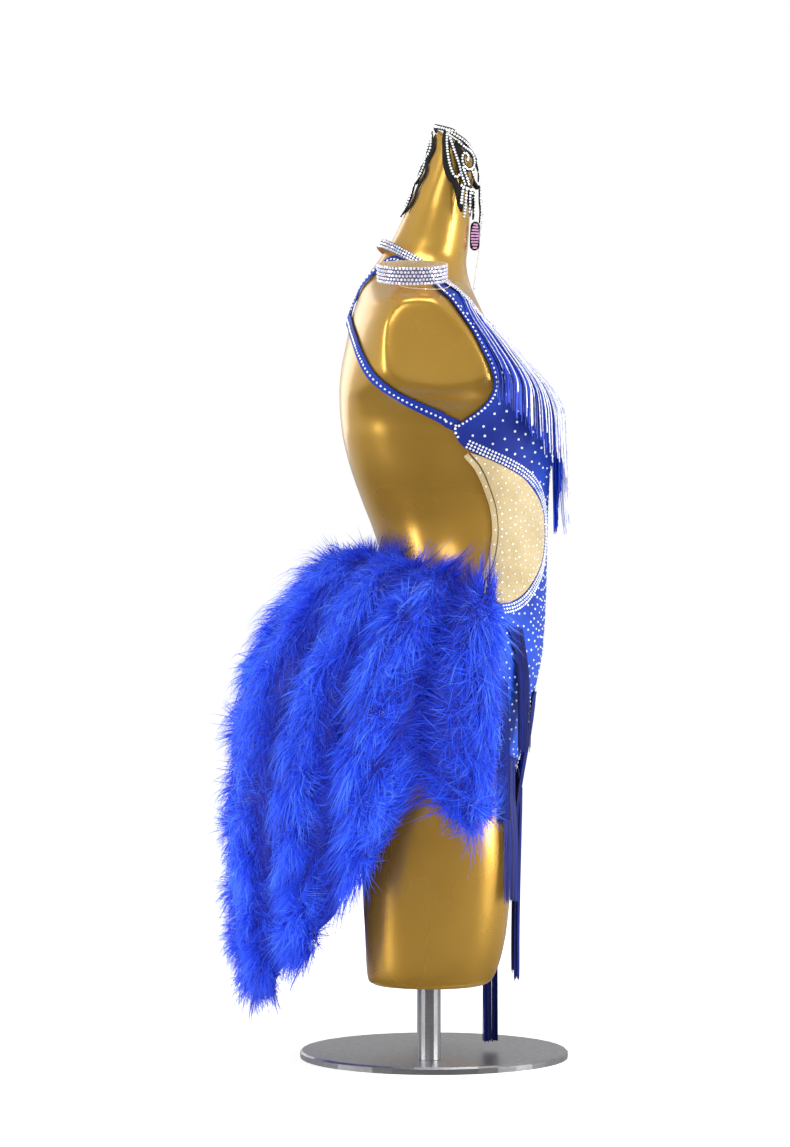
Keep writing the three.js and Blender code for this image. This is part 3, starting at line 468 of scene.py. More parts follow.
def panel(left, right, top, bottom, behind=False):
    """The turn and height inside four edges, of which left and right run down."""
    west, east, north, south = (edge_on_form(e, behind) for e in (left, right, top, bottom))
    ends = [[np.array(edge(float(end))) for end in (0, 1)] for edge in (west, east)]

    def place(u, v):
        sides = (1 - u) * np.array(west(v)) + u * np.array(east(v))
        caps = (1 - v) * np.array(north(u)) + v * np.array(south(u))
        corner = [(1 - v) * a[:, None] + v * b[:, None] for a, b in ends]
        return sides + caps - (1 - u) * corner[0] - u * corner[1]
    return place


def volume(points, faces):
    total = 0
    for group in faces:
        for k in range(1, group.shape[1] - 1):
            a, b, c = points[group[:, 0]], points[group[:, k]], points[group[:, k + 1]]
            total += (a * np.cross(b, c)).sum() / 6
    return total


def wall(columns, rows, place, inner, outer):
    """A closed thin wall over a grid: place(u, v, lift) gives its points."""
    u, v = (g.ravel() for g in np.meshgrid(np.linspace(0, 1, columns + 1),
                                           np.linspace(0, 1, rows + 1)))
    points = np.vstack([place(u, v, lift(u, v) if callable(lift) else np.full(u.shape, lift))
                        for lift in (outer, inner)])
    under = len(u)
    i, j = (g.ravel() for g in np.meshgrid(np.arange(columns), np.arange(rows)))
    a = j * (columns + 1) + i
    b, c, d = a + 1, a + columns + 2, a + columns + 1
    i, j = np.arange(columns), np.arange(rows) * (columns + 1)
    last = rows * (columns + 1)
    rims = [(i + 1, i), (last + i, last + i + 1), (j, j + columns + 1),
            (j + 2 * columns + 1, j + columns)]
    faces = [np.stack([a, b, c, d], 1), np.stack([a, d, c, b], 1) + under]
    faces += [np.stack([p, q, q + under, p + under], 1) for p, q in rims]
    if volume(points, faces) < 0:
        faces = [group[:, ::-1] for group in faces]
    return points, faces


def on_form(place):
    return lambda u, v, lift: lifted(*place(u, v), lift)


def mirror(places):
    return [(x, -y, z) for x, y, z in places]


def whole(half, shared=0):
    """A path from the left side to the right, whose halves may share the middle place."""
    return half + mirror(half)[::-1][shared:]


def beside(places, gap):
    """The same line moved sideways over the form."""
    p = np.asarray(places, float)
    ahead = unit(np.vstack([p[1:], p[-1:]]) - np.vstack([p[:1], p[:-1]]))
    turn, z = turn_of(p)
    moved = form_point(turn, z) + unit(np.cross(form_normal(turn, z), ahead)) * gap
    return [tuple(m) for m in moved]


SIDES = [("left", 1, lambda places: list(places)), ("right", -1, mirror)]


def stretch_knit(deep, bright):
    def build(wire):
        place = object_place(wire)
        rib = wire.node("ShaderNodeTexWave", {"wave_profile": "SIN"}, {
            "Vector": place, "Scale": 560, "Distortion": 1.5, "Detail": 1})
        cloudy = clouds(wire, place, 9, 3)
        # Painted light: low lightens the knit from 0.60 m down to 0.46 m high and below, for the
        # lit lower front.
        low = wire.node("ShaderNodeSeparateXYZ", (), {0: place}, output=2).step(0.60, 0.46)
        tint = (cloudy * 0.9 + rib * 0.04 + low * 0.3).step(0.25, 0.95).mix(deep, bright)
        return {"Base Color": tint, "Roughness": cloudy * 0.1 + 0.5, "Specular IOR Level": 0.25,
                "Sheen Weight": 0.05, "Sheen Tint": (0.2, 0.4, 1, 1),
                "Normal": bumped(wire, rib, 0.1)}
    return build


blue_knit = material("blue_knit", stretch_knit(colour(10, 30, 124), colour(36, 84, 214)))


def strained(strength, pulls, seed):
    """A soft pull of the cloth: a few long shallow troughs, uneven in length and depth."""
    draw = np.random.default_rng(seed)
    rows = [(draw.uniform(0, 1), draw.uniform(0, 1), draw.uniform(-0.5, 0.5),
             draw.uniform(0.02, 0.05), draw.uniform(0.15, 0.45), draw.uniform(0.4, 1))
            for _ in range(pulls)]

    def rise(u, v):
        total = np.zeros(np.shape(u))
        for at_u, at_v, slant, width, length, deep in rows:
            across = (v - at_v) - slant * (u - at_u)
            total -= deep * np.exp(-(across / width)**2 - ((u - at_u) / length)**2)
        return strength * total
    return rise


def cloth_panel(name, place, columns, rows, finish, slot, pulls, seed, strength=0.45):
    """A sewn panel on the form, with soft strain lines."""
    rise = strained(strength, pulls, seed)
    points, faces = wall(columns, rows, on_form(place), lambda u, v: CLEAR + rise(u, v) * 0.6,
                         lambda u, v: SKIN + rise(u, v))
    return add_piece(name, points, faces, finish, slot, in_cad=True)


bodice_places = {}
for name, side, flip in SIDES:
    bodice_places[side] = panel(flip(ARMHOLE), flip(NECKLINE + CENTRE_FRONT),
                                flip([ARMHOLE[0], NECKLINE[0]]),
                                flip(UNDERBUST + CENTRE_FRONT[-1:]))
    bodice = cloth_panel(f"bodice_{name}", bodice_places[side], 32, 64, blue_knit,
                         "blue_stretch", 9, 11)

# ---- Centre front and trunk ----
# The leotard below the bust: a front cut to the high leg, a seat piece that is open above the
# waist, and a narrow gusset between the thighs, all of the same knit, overlocked together.

INSET_FRONT = [(105, 84, 635), (116, 62, 618), (121, 46, 600), (121.5, 42, 578),
               (117, 55, 555.5), (108, 82, 534), (95, 105, 517.5), (83, 119, 510),
               (70, 130, 507)]
SIDE_SEAM = [(70, 130, 507), (62, 140, 492), (54, 152, 460), (46, 162, 425), (42, 165, 385)]
LEG_FRONT = [(42, 165, 385), (66, 140, 352), (84, 92, 326), (87, 45, 316), (88, 10, 313)]
LEG_BACK = [(42, 165, 385), (0, 172, 352), (-55, 150, 328), (-88, 90, 316), (-93, 10, 313)]
TRUNK_TOP = [(55, 135, 510), (38, 136, 520), (10, 128, 535), (-30, 100, 547), (-55, 50, 552),
             (-60, 0, 553)]
GUSSET_PATH = np.array([(88.6, 311.4), (84.6, 303), (56, 296), (-62, 296), (-84.6, 303),
                        (-92.8, 311.4)])
GUSSET_HALF = 9

below_bust = beside(UNDERBUST + CENTRE_FRONT[-1:], PANEL_GAP)
front_side = below_bust[5:6] + INSET_FRONT[1:] + SIDE_SEAM[1:]
front_top = whole(below_bust[5:8])
front_place = panel(front_side, mirror(front_side), front_top, whole(LEG_FRONT))
front_body = cloth_panel("front_body", front_place, 60, 64, blue_knit, "blue_stretch", 12, 12)

trunk_side = beside(SIDE_SEAM, PANEL_GAP)
trunk_place = panel(trunk_side, mirror(trunk_side), whole(trunk_side[:1] + TRUNK_TOP, 1),
                    whole(trunk_side[-1:] + LEG_BACK[1:]), behind=True)
trunk_back = cloth_panel("trunk_back", trunk_place, 84, 40, blue_knit, "blue_stretch", 10, 13)


def gusset_place(u, v, lift):
    k = v * (len(GUSSET_PATH) - 1)
    x, z = (np.interp(k, range(len(GUSSET_PATH)), GUSSET_PATH[:, c]) for c in (0, 1))
    run = np.gradient(GUSSET_PATH, axis=0)
    dx, dz = (np.interp(k, range(len(GUSSET_PATH)), run[:, c]) for c in (0, 1))
    long = np.hypot(dx, dz)
    return np.stack([x + dz / long * lift, (2 * u - 1) * GUSSET_HALF,
                     z - np.abs(dx) / long * lift], -1)


gusset = add_piece("gusset", *wall(6, 40, gusset_place, CLEAR, SKIN), blue_knit,
                   "blue_stretch", in_cad=True)

# ---- Waist insets ----
# A crescent of nude power mesh on each side, let in behind the underbust seam, with a folded
# mesh binding along its back edge that a dark row of lockstitch holds.

INSET_BACK = [(33, 131, 668), (44, 126, 653), (53, 120, 631), (59, 115, 610), (61.5, 115, 588),
              (59, 118, 566), (55, 124, 550), (48, 129, 536), (41, 135, 523)]
INSET_FOOT = (56, 134, 514)
BINDING_WIDTH, STITCH_PITCH, STITCH_LONG = 6.5, 2.4, 2.1
SEAM_TAPE = 3.4


def nude_mesh(wire):
    place = object_place(wire)
    holes = wire.node("ShaderNodeTexVoronoi", (), {"Vector": place, "Scale": 1100})
    cloudy = clouds(wire, place, 22, 3)
    tint = cloudy.step(0.3, 0.7).mix(colour(190, 166, 116), colour(214, 194, 146))
    tint = holes.step(0.0, 0.5).mix(colour(168, 144, 98), tint)
    return {"Base Color": tint, "Roughness": cloudy * 0.1 + 0.6, "Sheen Weight": 0.2,
            "Normal": bumped(wire, holes, 0.3)}


power_mesh = material("nude_power_mesh", nude_mesh)
dark_thread = material("dark_thread", lambda wire: {
    "Base Color": wire.node("ShaderNodeTexNoise", (), {"Scale": 400}).ramp(
        (0.3, colour(52, 46, 44)), (0.7, colour(84, 76, 70))), "Roughness": 0.7})


def ribbon(path, width):
    """A strip of even width along a path on the form: place(u, v) with u across it."""
    edge = edge_on_form(path)

    def place(u, v):
        turn, z = edge(v)
        ahead = unit(form_point(*edge(v + 0.01)) - form_point(*edge(v - 0.01)))
        aside = unit(np.cross(form_normal(turn, z), ahead))
        return turn_of(form_point(turn, z) + aside * ((u - 0.5) * width)[:, None])
    return place


def spread(count):
    """Shares of a length, evenly spaced, with half a gap before the first and the last."""
    return (np.arange(count) + 0.5) / count


def stitches(name, place, length, lift):
    """A row of stitches: short rounded threads end to end along place(0.5, v)."""
    count = int(length / STITCH_PITCH)
    centres = spread(count)
    runs = centres[:, None] + np.linspace(-0.5, 0.5, 5) * STITCH_LONG / length
    half = np.full(runs.size, 0.5)
    points = on_form(place)(half, np.clip(runs.ravel(), 0, 1), np.full(runs.size, lift))
    points = points.reshape(count, 5, 3)
    outward = form_normal(*place(half[:count], centres))
    add_piece(name, *tubes(points, outward, np.array([0.1, 0.42, 0.48, 0.42, 0.1]), 5),
              dark_thread, "nude_mesh", sharp=60)


def tubes(paths, outward, widths, around):
    """Many thin tubes at once. paths is strands by places; widths are half widths."""
    strands, places, _ = paths.shape
    ahead = unit(np.gradient(paths, axis=1))
    aside = unit(np.cross(ahead, outward[:, None, :]))
    up = np.cross(aside, ahead)
    angles = 2 * math.pi * np.arange(around) / around
    widths = np.broadcast_to(widths, (strands, places))[:, :, None, None]
    rings = paths[:, :, None, :] + widths * (np.cos(angles)[:, None] * aside[:, :, None, :]
                                             + np.sin(angles)[:, None] * up[:, :, None, :])
    r, k = (g.ravel() for g in np.meshgrid(np.arange(places - 1), np.arange(around)))
    a, b = r * around + k, r * around + (k + 1) % around
    quads = np.stack([a, a + around, b + around, b], 1)
    ends = np.stack([np.arange(around), np.arange(around)[::-1] + (places - 1) * around])
    shift = (np.arange(strands) * places * around)[:, None, None]
    return rings.reshape(-1, 3), [(quads[None] + shift).reshape(-1, 4),
                                  (ends[None] + shift).reshape(-1, around)]


inset_places = {}
for name, side, flip in SIDES:
    binding_place = ribbon(flip(beside(INSET_BACK, -BINDING_WIDTH / 2)), BINDING_WIDTH)
    points, faces = wall(8, 70, on_form(binding_place), CLEAR,
                         lambda u, v: SKIN + 0.5 * np.sin(math.pi * u)**0.5)
    binding = add_piece(f"mesh_binding_{name}", points, faces, power_mesh, "nude_mesh",
                        in_cad=True)
    inset_ahead = beside(below_bust[5:6] + INSET_FRONT[1:], PANEL_GAP + 2 * SEAM)
    inset_behind = beside(INSET_BACK, -BINDING_WIDTH - 2.5 * SEAM)
    inset_places[side] = panel(flip(inset_behind), flip(inset_ahead),
                               flip(inset_behind[:1] + below_bust[2:5] + inset_ahead[:1]),
                               flip([inset_behind[-1], INSET_FOOT, inset_ahead[-1]]))
    inset = cloth_panel(f"mesh_{name}", inset_places[side], 28, 50, power_mesh, "nude_mesh",
                        6, 14)
    line = ribbon(flip(beside(INSET_BACK, -BINDING_WIDTH)), BINDING_WIDTH)
    stitches(f"binding_stitches_{name}", line, length_of(INSET_BACK), SKIN + 0.5)

# The underbust seam is covered by a narrow tape of the same knit.
add_piece("underbust_seam", *wall(4, 80, on_form(ribbon(front_top, SEAM_TAPE)), SKIN - 0.3,
                                  SKIN + 0.4), blue_knit, "blue_stretch")

# ---- Back straps ----
# Two narrow tubes of the knit turned right side out over elastic. Each runs from one side seam
# over the middle of the back to the other shoulder, with one row of stones along it.

STRAP_WIDTH = 13
STRAP_LOW = [(17, 139, 705), (-4, 142, 715), (-26, 144, 726), (-48, 152, 739), (-66, 151, 753),
             (-80, 135, 773), (-89, 100, 796), (-94, 50, 815)]
STRAP_CROSSING = (-93, 0, 830)
STRAP_HIGH = [(-88, 18, 848), (-79, 36, 864), (-68, 48, 877), (-52, 58, 886), (-34, 68, 882),
              (-16, 84, 870)]
CROSSING_SPREAD = 30
STRAP_TUCK = (27, 137, 700)
strap_low = [STRAP_TUCK] + STRAP_LOW + [STRAP_CROSSING]
low_length = length_of(strap_low)
strap_length = length_of(strap_low + mirror(STRAP_HIGH))


def hump(v):
    """How far the strap that lies on top rises over the other one."""
    away = (v - low_length / strap_length) * strap_length
    return (CLOTH + 2 * SEAM) * np.minimum(1, 1.6 * np.exp(-(away / CROSSING_SPREAD)**2))


def tuck(v):
    """The low end lies a little nearer to the form, where the cup is sewn over it."""
    return 1.3 * np.exp(-(v * strap_length / 8)**2)


strap_places = {}
for name, rise, flip in (("strap_a", hump, mirror), ("strap_b", lambda v: v * 0, list)):
    path = flip([STRAP_TUCK] + STRAP_LOW) + [STRAP_CROSSING] + mirror(flip(STRAP_HIGH))
    strap_places[name] = (ribbon(path, STRAP_WIDTH), rise)
    points, faces = wall(
        8, 220, on_form(strap_places[name][0]), lambda u, v: CLEAR + rise(v) - tuck(v),
        lambda u, v: SKIN + rise(v) - 0.7 * (2 * np.abs(u - 0.5))**3 - tuck(v))
    strap = add_piece(name, points, faces, blue_knit, "blue_stretch", in_cad=True)

# ---- Crystal bands ----
# Narrow strips set with close rows of foil-backed stones: one on navy knit round each side of
# the neckline, one on cream behind the neck as a collar, and two short cream bars over the
# keyhole.

BAND_WIDTH, BAND_PITCH = 11, 2.5
# row across the band from the neckline edge, and the stretch of the band that it covers
BAND_ROWS = [(0.1, 0, 1), (0.34, 0, 0.42), (0.34, 0.66, 0.72), (0.34, 0.93, 1),
             (0.60, 0, 0.36), (0.60, 0.66, 0.72), (0.60, 0.9, 1), (0.86, 0, 1)]
BAND_TAIL = (123.5, 7.5, 738)
TOP_LIFT = 0.9
COLLAR = [(-10, 76, 874), (-27, 64, 886), (-43, 42, 898), (-53, 18, 903.5), (-55, 0, 904.5)]
COLLAR_STAND, COLLAR_GAP = 5, 5
# name, x, half length, z
BRIDGES = [("bridge_upper", 66, 21.2, 803), ("bridge_lower", 121, 6, 750)]
BRIDGE_WIDTH = 7


def crystal(wire):
    cells = clouds(wire, object_place(wire), 240, 1)
    tint = cells.ramp((0.36, colour(206, 232, 255)), (0.46, colour(252, 252, 255)),
                      (0.54, colour(255, 236, 250)), (0.64, colour(226, 218, 255)),
                      (0.74, colour(214, 255, 232)))
    # The emission is a painted glow, which keeps the stones bright in shade.
    return {"Base Color": tint, "Metallic": 0.65, "Roughness": 0.16, "Coat Weight": 0.5,
            "Coat Roughness": 0.03, "Emission Color": tint, "Emission Strength": 0.30}


crystal_stone = material("crystal_stone", crystal)
# This material's emission is a painted glow as well, which keeps the stones bright in shade.
white_stone = material("white_stone", lambda wire: {
    "Base Color": clouds(wire, object_place(wire), 220).ramp(
        (0.38, colour(214, 232, 250)), (0.5, colour(255, 255, 255)),
        (0.62, colour(240, 250, 236))),
    "Metallic": 0.3, "Roughness": 0.14, "Coat Weight": 0.6, "Emission Color": (1, 1, 1, 1),
    "Emission Strength": 0.34})


def written(wire, label):
    """A value that set_values wrote for each point of a piece."""
    return wire.node("ShaderNodeAttribute", {"attribute_name": label}, output=2)


def weave(dark, light, threads):
    """Woven backing. Where the tone is 1, on the outside between the stones, it is painted grey as
    shade.
    """
    def build(wire):
        place = object_place(wire)
        net = wire.node("ShaderNodeTexVoronoi", (), {"Vector": place, "Scale": threads})
        tint = net.step(0.0, 0.6).mix(light, dark)
        # The grey is painted shade in the gaps between the stones.
        tint = written(wire, "tone").mix(tint, colour(70, 72, 96))
        return {"Base Color": tint, "Roughness": net * 0.1 + 0.75,
                "Normal": bumped(wire, net, 0.4)}
    return build


cream_backing = material("cream_backing",
                         weave(colour(196, 172, 130), colour(236, 220, 188), 900))
navy_knit = material("navy_knit", stretch_knit(colour(8, 14, 84), colour(14, 24, 118)))
FACETS = 6
ROW_SPAN = 0.98


def set_stones(name, places, outward, size, slot, seed, finish=crystal_stone):
    """Foil-backed stones: a six-sided dome with a flat table, glued down by its base."""
    draw = np.random.default_rng(seed)
    count = len(places)
    size = np.broadcast_to(size, count) * draw.uniform(0.92, 1.08, count)
    tilt = draw.normal(0, 0.09, (count, 3))
    up = unit(outward + tilt)
    aside = unit(np.cross(up, np.array((0.31, 0.52, 0.79))))
    along_stone = np.cross(up, aside)
    angles = 2 * math.pi * np.arange(FACETS) / FACETS + draw.uniform(0, math.pi, (count, 1))
    ring = (np.cos(angles)[:, :, None] * aside[:, None, :]
            + np.sin(angles)[:, :, None] * along_stone[:, None, :]) * size[:, None, None]
    sink, top = (0.15 * size)[:, None, None], (0.55 * size)[:, None, None]
    points = np.concatenate([places[:, None, :] + ring - up[:, None, :] * sink,
                             places[:, None, :] + 0.6 * ring + up[:, None, :] * top], 1)
    k = np.arange(FACETS)
    sides = np.stack([k, (k + 1) % FACETS, (k + 1) % FACETS + FACETS, k + FACETS], 1)
    flats = np.array([(6, 7, 8, 9), (6, 9, 10, 11), (3, 2, 1, 0), (5, 4, 3, 0)])
    faces = np.vstack([sides, flats])[None] + (np.arange(count) * 2 * FACETS)[:, None, None]
    add_piece(name, points.reshape(-1, 3), [faces.reshape(-1, 4)], finish, slot, sharp=0)


def stones_on(name, turn, z, lift, size, slot, seed, finish=crystal_stone):
    """Stones at turns and heights on the form, at a lift or at one for each."""
    places = lifted(turn, z, np.broadcast_to(lift, np.shape(turn)))
    set_stones(name, places, form_normal(turn, z), size, slot, seed, finish)


def joined_rows(rows):
    return [np.concatenate(column) for column in zip(*rows)]


def set_values(piece, label, values):
    """Writes a value for each point of a piece, which its material reads."""
    layer = piece.data.attributes.new(label, "FLOAT", "POINT")
    layer.data.foreach_set("value", np.asarray(values, np.float32))


def stone_rows(place, length, rows, pitch, lift):
    """Turns, heights and lifts of stones in rows along a strip, staggered row by row."""
    count = max(2, int(length / pitch))
    u, v = joined_rows([(np.full(count, (row + 0.5) / rows),
                         (np.arange(count) + 0.25 + 0.5 * (row % 2)) / count)
                        for row in range(rows)])
    height = lift(u, v) if callable(lift) else np.full(u.shape, lift)
    return *place(0.5 + (u - 0.5) * ROW_SPAN, v), height


band_line = beside(NECKLINE + [BAND_TAIL], BAND_WIDTH / 2)
band_length = length_of(band_line)


def band_lift(u, v):
    return OVER + TOP_LIFT * (1 - v)**6


for name, side, flip in SIDES:
    band_place = ribbon(flip(band_line), BAND_WIDTH)
    points, faces = wall(8, 150, on_form(band_place), band_lift,
                         lambda u, v: band_lift(u, v) + 1.2)
    band = add_piece(f"crystal_band_{name}", points, faces, navy_knit, "crystal",
                     in_cad=True)
    rows = []
    for across, start, end in BAND_ROWS:
        count = int(band_length * (end - start) / BAND_PITCH)
        v = start + (end - start) * (np.arange(count) + 0.5) / count
        u = np.full(count, 1 - across if side > 0 else across)
        rows.append((*band_place(u, v), band_lift(0, v) + 1.25))
    stones_on(f"neckline_stones_{name}", *joined_rows(rows), 1.22, "crystal", 21)

band_start = np.array(band_line[0])
collar_end = band_start + (np.array(COLLAR[0]) - band_start) * (
    COLLAR_GAP / np.linalg.norm(np.array(COLLAR[0]) - band_start))
collar_path = whole([tuple(collar_end)] + COLLAR, 1)
collar_length = length_of(collar_path)


def collar_lift(u, v):
    return OVER + TOP_LIFT + (COLLAR_STAND - TOP_LIFT) * np.sin(math.pi * v)**2


collar_place = ribbon(collar_path, BAND_WIDTH)
points, faces = wall(8, 120, on_form(collar_place), collar_lift,
                     lambda u, v: collar_lift(u, v) + 1.3)
collar = add_piece("collar_band", points, faces, cream_backing, "crystal", in_cad=True)
# The outer face gets tone 1, so its backing shows as painted shade between the stones.
set_values(collar, "tone", np.arange(len(points)) < len(points) / 2)
stones_on("collar_stones", *stone_rows(collar_place, collar_length, 3, 3.7,
                                       lambda u, v: collar_lift(u, v) + 1.35),
          1.62, "crystal", 22)

for name, x, half, z in BRIDGES:
    bar_place = ribbon([(x, half, z), (x + 1, 0, z - 0.5), (x, -half, z)], BRIDGE_WIDTH)
    add_piece(name, *wall(4, 30, on_form(bar_place), OVER, OVER + 1.3), cream_backing,
              "crystal", in_cad=True)
    stones_on(f"{name}_stones", *stone_rows(bar_place, 2 * half, 3, 2.7, OVER + 1.35),
              1.3, "crystal", 23)

# ---- Stones on the cloth ----
# Small foil-backed stones glued on by hand: a loose scatter over the knit and mesh, one row
# along each armhole and strap, and three close rows round the front of each inset.

STONE, STONE_LIFT = 1.55, SKIN + 0.1
STRAP_PITCH = 5.4


def scatter(place, gap, seed, keep, tries=5000):
    """Places on a panel no closer than gap, which keep(points) may thin out."""
    draw = np.random.default_rng(seed)
    u, v = draw.uniform(0.03, 0.97, tries), draw.uniform(0.02, 0.98, tries)
    turn, z = place(u, v)
    points = form_point(turn, z)
    gaps = gap * draw.uniform(0.85, 1.15, tries)
    chosen = []
    for k in np.flatnonzero(keep(points)):
        if not chosen or ((points[chosen] - points[k])**2).sum(1).min() > gaps[k]**2:
            chosen.append(k)
    return turn[chosen], z[chosen]


def clear_of(lines, gap):
    """Keeps points that lie further than gap from each line."""
    dense = np.vstack([spline(line, 10) for line in lines])

    def keep(points):
        return np.array([((dense - p)**2).sum(1).min() > gap**2 for p in points])
    return keep


def row_beside(path, gap, pitch):
    line = beside(path, gap)
    return edge_on_form(line)(spread(int(length_of(line) / pitch)))


seam_row = UNDERBUST[1:5] + INSET_FRONT
cup_clear = clear_of([seam_row, ARMHOLE, beside(NECKLINE, BAND_WIDTH)], 11)
cup_stones = joined_rows([scatter(bodice_places[1], 11.2, 31, cup_clear),
                          row_beside(ARMHOLE, -3.2, 4.8)])
inset_rows = joined_rows([row_beside(seam_row, -gap, 3.9) for gap in (2.2, 5.9, 9.6)])
mesh_stones = joined_rows([scatter(inset_places[1], 7.2, 33, clear_of([seam_row], 3)),
                           row_beside(beside(INSET_BACK, -BINDING_WIDTH / 2), 0, 16)])
for name, side, _ in SIDES:
    for label, (turn, z), lift, size, slot, seed in (
            ("bodice_stones", cup_stones, STONE_LIFT, STONE, "blue_stretch", 31),
            ("inset_rows", inset_rows, STONE_LIFT, 1.5, "crystal", 32),
            ("mesh_stones", mesh_stones, SKIN + 0.5, 1.2, "nude_mesh", 33)):
        stones_on(f"{label}_{name}", turn * side, z, lift, size, slot, seed, white_stone)

front_clear = clear_of([seam_row, mirror(seam_row)], 12)
turn, z = scatter(front_place, 8.3, 34, front_clear, 9000)
stones_on("front_stones", turn, z, STONE_LIFT, 1.4, "blue_stretch", 34, white_stone)
turn, z = scatter(trunk_place, 12, 35, lambda points: points[:, 0] > -20, 3000)
stones_on("trunk_stones", turn, z, STONE_LIFT, STONE, "blue_stretch", 35, white_stone)
for name, (place, rise) in strap_places.items():
    v = spread(int(strap_length / STRAP_PITCH))
    turn, z = place(np.full(len(v), 0.5), v)
    stones_on(f"{name}_stones", turn, z, STONE_LIFT + rise(v), 1.5, "blue_stretch", 36,
              white_stone)

# ---- Bust fringe ----
# Rayon chainette fringe sewn under the outer edge of each neckline band, royal blue with a
# second row of silver metallic yarn over it, which thickens towards the centre front.

FRINGE_LIFT = SKIN + 0.8
FRINGE_THICK, BACKING_HEIGHT = 2, 6
BLUE_STRANDS, SILVER_DRAWS, STRAND_SIDES = 250, 300, 3
FRINGE_END = [(124, 9, 734), (127, 10, 716)]
# share of the strip and the height of the feet
FRINGE_FEET = np.array([(0, 731), (0.1, 723), (0.2, 707), (0.37, 672), (0.49, 648), (0.6, 628),
                        (0.8, 614), (1, 602)])


def is_near(points, lift):
    """Whether points are nearer to the form than lift, or inside it."""
    x, y, z = points.T
    _, back, front, half = read_table(THIGH, z).T
    ahead = (x - (back + front) / 2) / ((front - back) / 2 + lift)
    thigh = ahead**2 + ((np.abs(y) - THIGH_SPREAD) / (half + lift))**2 < 1
    turn, level = turn_of(points)
    trunk = ((points - lifted(turn, level, lift)) * form_normal(turn, level)).sum(1) < 0
    return np.where(z < SECTIONS[0, 0], thigh, trunk)


def drape(roots, feet, steps, lift):
    """Strands that fall over the form from their roots, then straight from where they last
    touched it."""
    away = form_normal(*turn_of(roots))
    away[:, 2] = 0
    away = unit(away)
    reach = np.zeros(len(roots))
    places = [roots]
    for k in range(steps):
        z = roots[:, 2] + (feet - roots[:, 2]) * (k + 1) / steps
        more = np.zeros(len(roots))
        for step in (32, 16, 8, 4, 2, 1, 0.5):
            tried = roots + away * (more + step)[:, None]
            tried[:, 2] = z
            more += step * is_near(tried, lift)
        reach = np.maximum(reach, more)
        place = roots + away * reach[:, None]
        place[:, 2] = z
        places.append(place)
    return np.stack(places, 1), away


def hang_fringe(name, path, shares, feet, lift, width, steps, sway, finish, seed,
                in_cad=True, sweep=0, lean_in=0, flare=0):
    """Strands from a strip. Each sways a little more towards its foot. sweep carries them
    forward over the body, lean_in back under the hip, and flare off it at the strip's end."""
    draw = np.random.default_rng(seed)
    count = len(shares)
    turn, z = edge_on_form(path)(shares)
    roots = lifted(turn, z, lift + draw.uniform(-0.4, 0.4, count))
    paths, away = drape(roots, feet, steps, lift)
    aside = np.cross(away, (0, 0, 1))
    ahead = aside * np.where(aside[:, :1] < 0, -1, 1)
    t = np.linspace(0, 1, steps + 1)
    drift = draw.normal(0, sway, count)[:, None] * t**1.5
    ripple = draw.normal(0, sway * 0.3, (count, 1)) * np.sin(
        t * draw.uniform(4, 9, (count, 1)) + draw.uniform(0, 6, (count, 1))) * t
    lean = (np.abs(draw.normal(0, sway * 0.5, count)) + flare * shares)[:, None] * t
    paths = paths + aside[:, None] * (drift + ripple)[..., None] + away[:, None] * lean[..., None]
    sweep = np.broadcast_to(sweep, count)[:, None] * ease(t, -0.1, 0.45)
    paths = paths + ahead[:, None] * sweep[..., None]
    paths[..., 0] -= lean_in * ease(t, -0.1, 0.9)
    widths = width * np.where(t < 0.97, 1, 0.7)
    made = add_piece(name, *tubes(paths, away, widths, STRAND_SIDES), finish, "fringe", in_cad,
                     sharp=0)
    tones = draw.uniform(0, 1, count)
    set_values(made, "tone", np.repeat(tones, (steps + 1) * STRAND_SIDES))


def rayon(deep, bright, rough):
    def build(wire):
        place = object_place(wire)
        thin = wire.node("ShaderNodeMapping", (), {"Vector": place, "Scale": (1, 1, 0.12)})
        streaks = clouds(wire, thin, 420)
        twist = wire.node("ShaderNodeTexWave", {"bands_direction": "Z"}, {
            "Vector": place, "Scale": 300, "Distortion": 2})
        tone = written(wire, "tone")
        tint = (streaks * 0.4 + twist * 0.1 + tone * 0.5).step(0.2, 0.8).mix(deep, bright)
        return {"Base Color": tint, "Roughness": streaks * 0.2 + rough,
                "Specular IOR Level": 0.3, "Sheen Weight": 0.05, "Sheen Tint": (0.3, 0.4, 1, 1)}
    return build


blue_rayon = material("blue_rayon", rayon(colour(6, 18, 104), colour(40, 84, 236), 0.36))
navy_rayon = material("navy_rayon", rayon(colour(3, 8, 56), colour(20, 42, 152), 0.4))
# The emission is a painted glow on the silver strands.
silver_yarn = material("silver_yarn", lambda wire: {
    "Base Color": (clouds(wire, object_place(wire), 260) * 0.6 + written(wire, "tone") * 0.4).ramp(
        (0.25, colour(120, 130, 190)), (0.45, colour(220, 224, 246)),
        (0.65, colour(255, 255, 255))),
    "Metallic": 0.3, "Roughness": 0.28, "Emission Color": (0.9, 0.92, 1, 1),
    "Emission Strength": 0.16})

